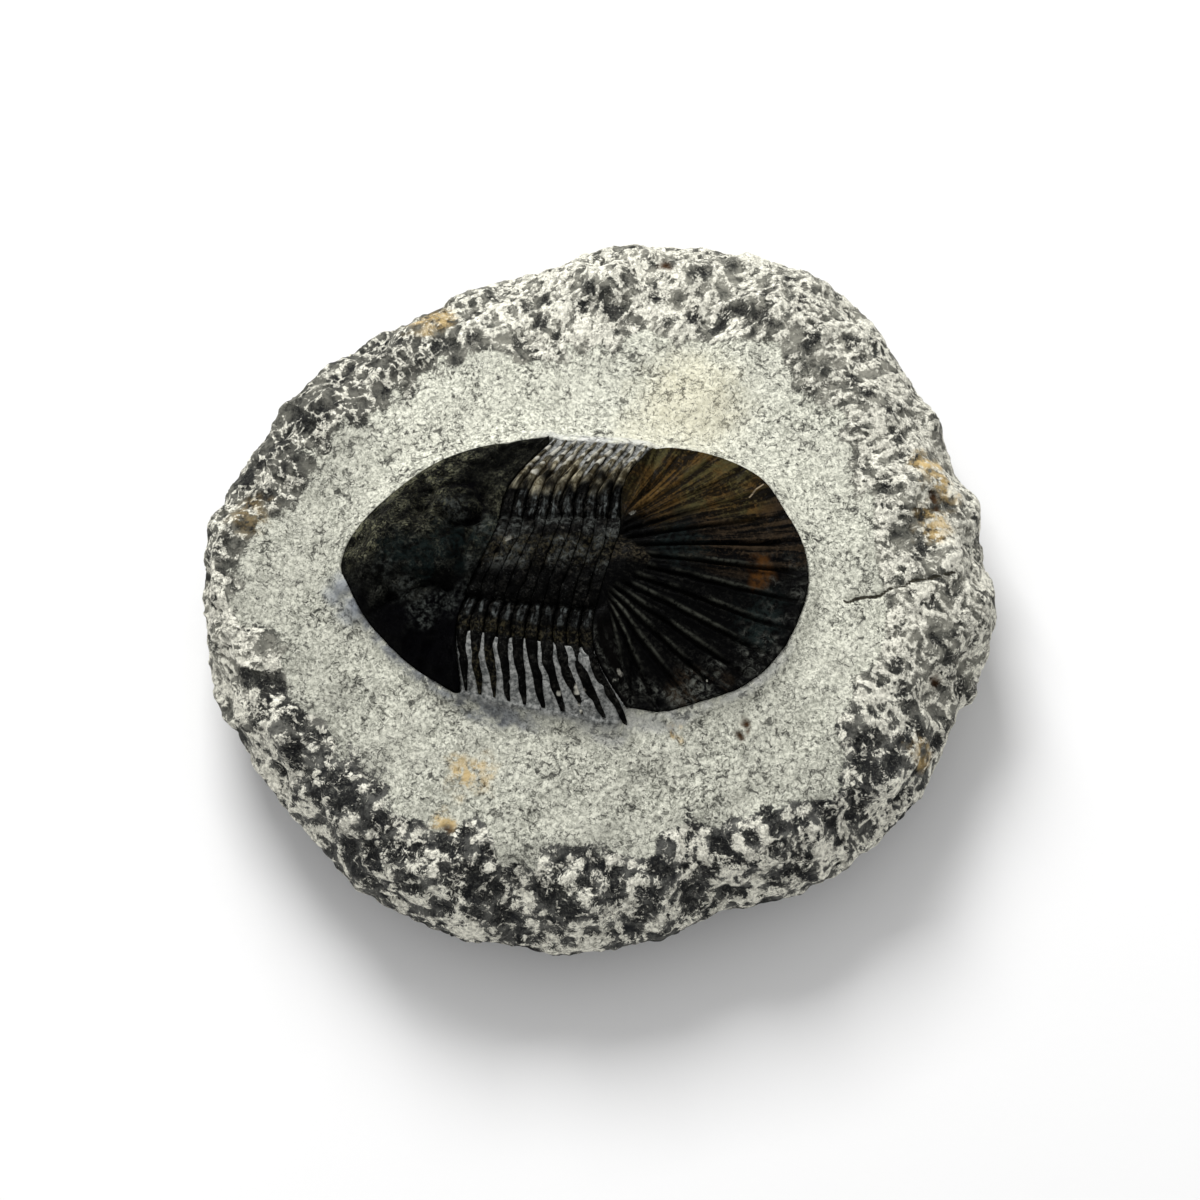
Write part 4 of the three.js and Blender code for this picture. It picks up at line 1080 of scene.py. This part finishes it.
# Painted shade: the cleared stone darkened on the far left, and towards the near side by the attribute
# low.
cleared = coat(finish, cleared, "grey", (0, 0, 0), 0.2)
cleared = coat(finish, cleared, "low", (0, 0, 0), 0.14)

edge_of_work = total(read(finish, "prepared"), stray)
colour = tint(window(edge_of_work, 0.38, 0.62), rim_colour, cleared)
# Painted shade, bluish-grey, beside the front of the head.
colour = coat(finish, colour, "blue", (0.24, 0.26, 0.29), 0.8)
stained = dapple(finish, 0.36, 0.58, 1.0, 5, 0.65)
colour = coat(finish, colour, "ochre", (0.57, 0.40, 0.16), stained, 0.9)
split = window(total(read(finish, "crack"), product(torn, 0.5)), 0.98, 1.1)
colour = tint(split, colour, (0.035, 0.032, 0.022))
colour = coat(finish, colour, "pit", (0.05, 0.022, 0.006))
complete(finish, colour, total(flakes, speckle(finish, 0.4, 4, 0.65, 0.6)), 0.16)
dress(stone, finish, "matrix")

# Floor and light
# A pale level floor, soft light from above the far side and a weak even fill.
FLOOR_SIZE = 4       # metres
LIGHT_PLACE = (-120, 380, 420)
LIGHT_TARGET = (0, 0, 12)
LIGHT_SIZE = 260
LIGHT_POWER = 3.2
FILL_STRENGTH = 0.62

bpy.ops.mesh.primitive_plane_add(size=FLOOR_SIZE)
floor = bpy.context.object
floor.name = "floor"
floor_finish = new_finish("floor_paper", 0.9, 0.2)
shade = tint(speckle(floor_finish, 40, 2), (0.86, 0.86, 0.86), (0.88, 0.88, 0.88))
complete(floor_finish, shade, speckle(floor_finish, 1.0, 2), 0.01)
floor.data.materials.append(floor_finish)

lamp = bpy.data.lights.new("window_light", "AREA")
lamp.size = LIGHT_SIZE * MILLIMETRE
lamp.energy = LIGHT_POWER
light = bpy.data.objects.new("window_light", lamp)
bpy.context.collection.objects.link(light)
light.location = Vector(LIGHT_PLACE) * MILLIMETRE
toward = Vector(LIGHT_TARGET) * MILLIMETRE - light.location
light.rotation_euler = toward.to_track_quat("-Z", "Y").to_euler()

world = bpy.data.worlds.new("studio")
bpy.context.scene.world = world
world.use_nodes = True
fill = world.node_tree.nodes["Background"]
fill.inputs["Color"].default_value = (1, 1, 1, 1)
fill.inputs["Strength"].default_value = FILL_STRENGTH
bpy.context.scene.view_settings.view_transform = "Standard"
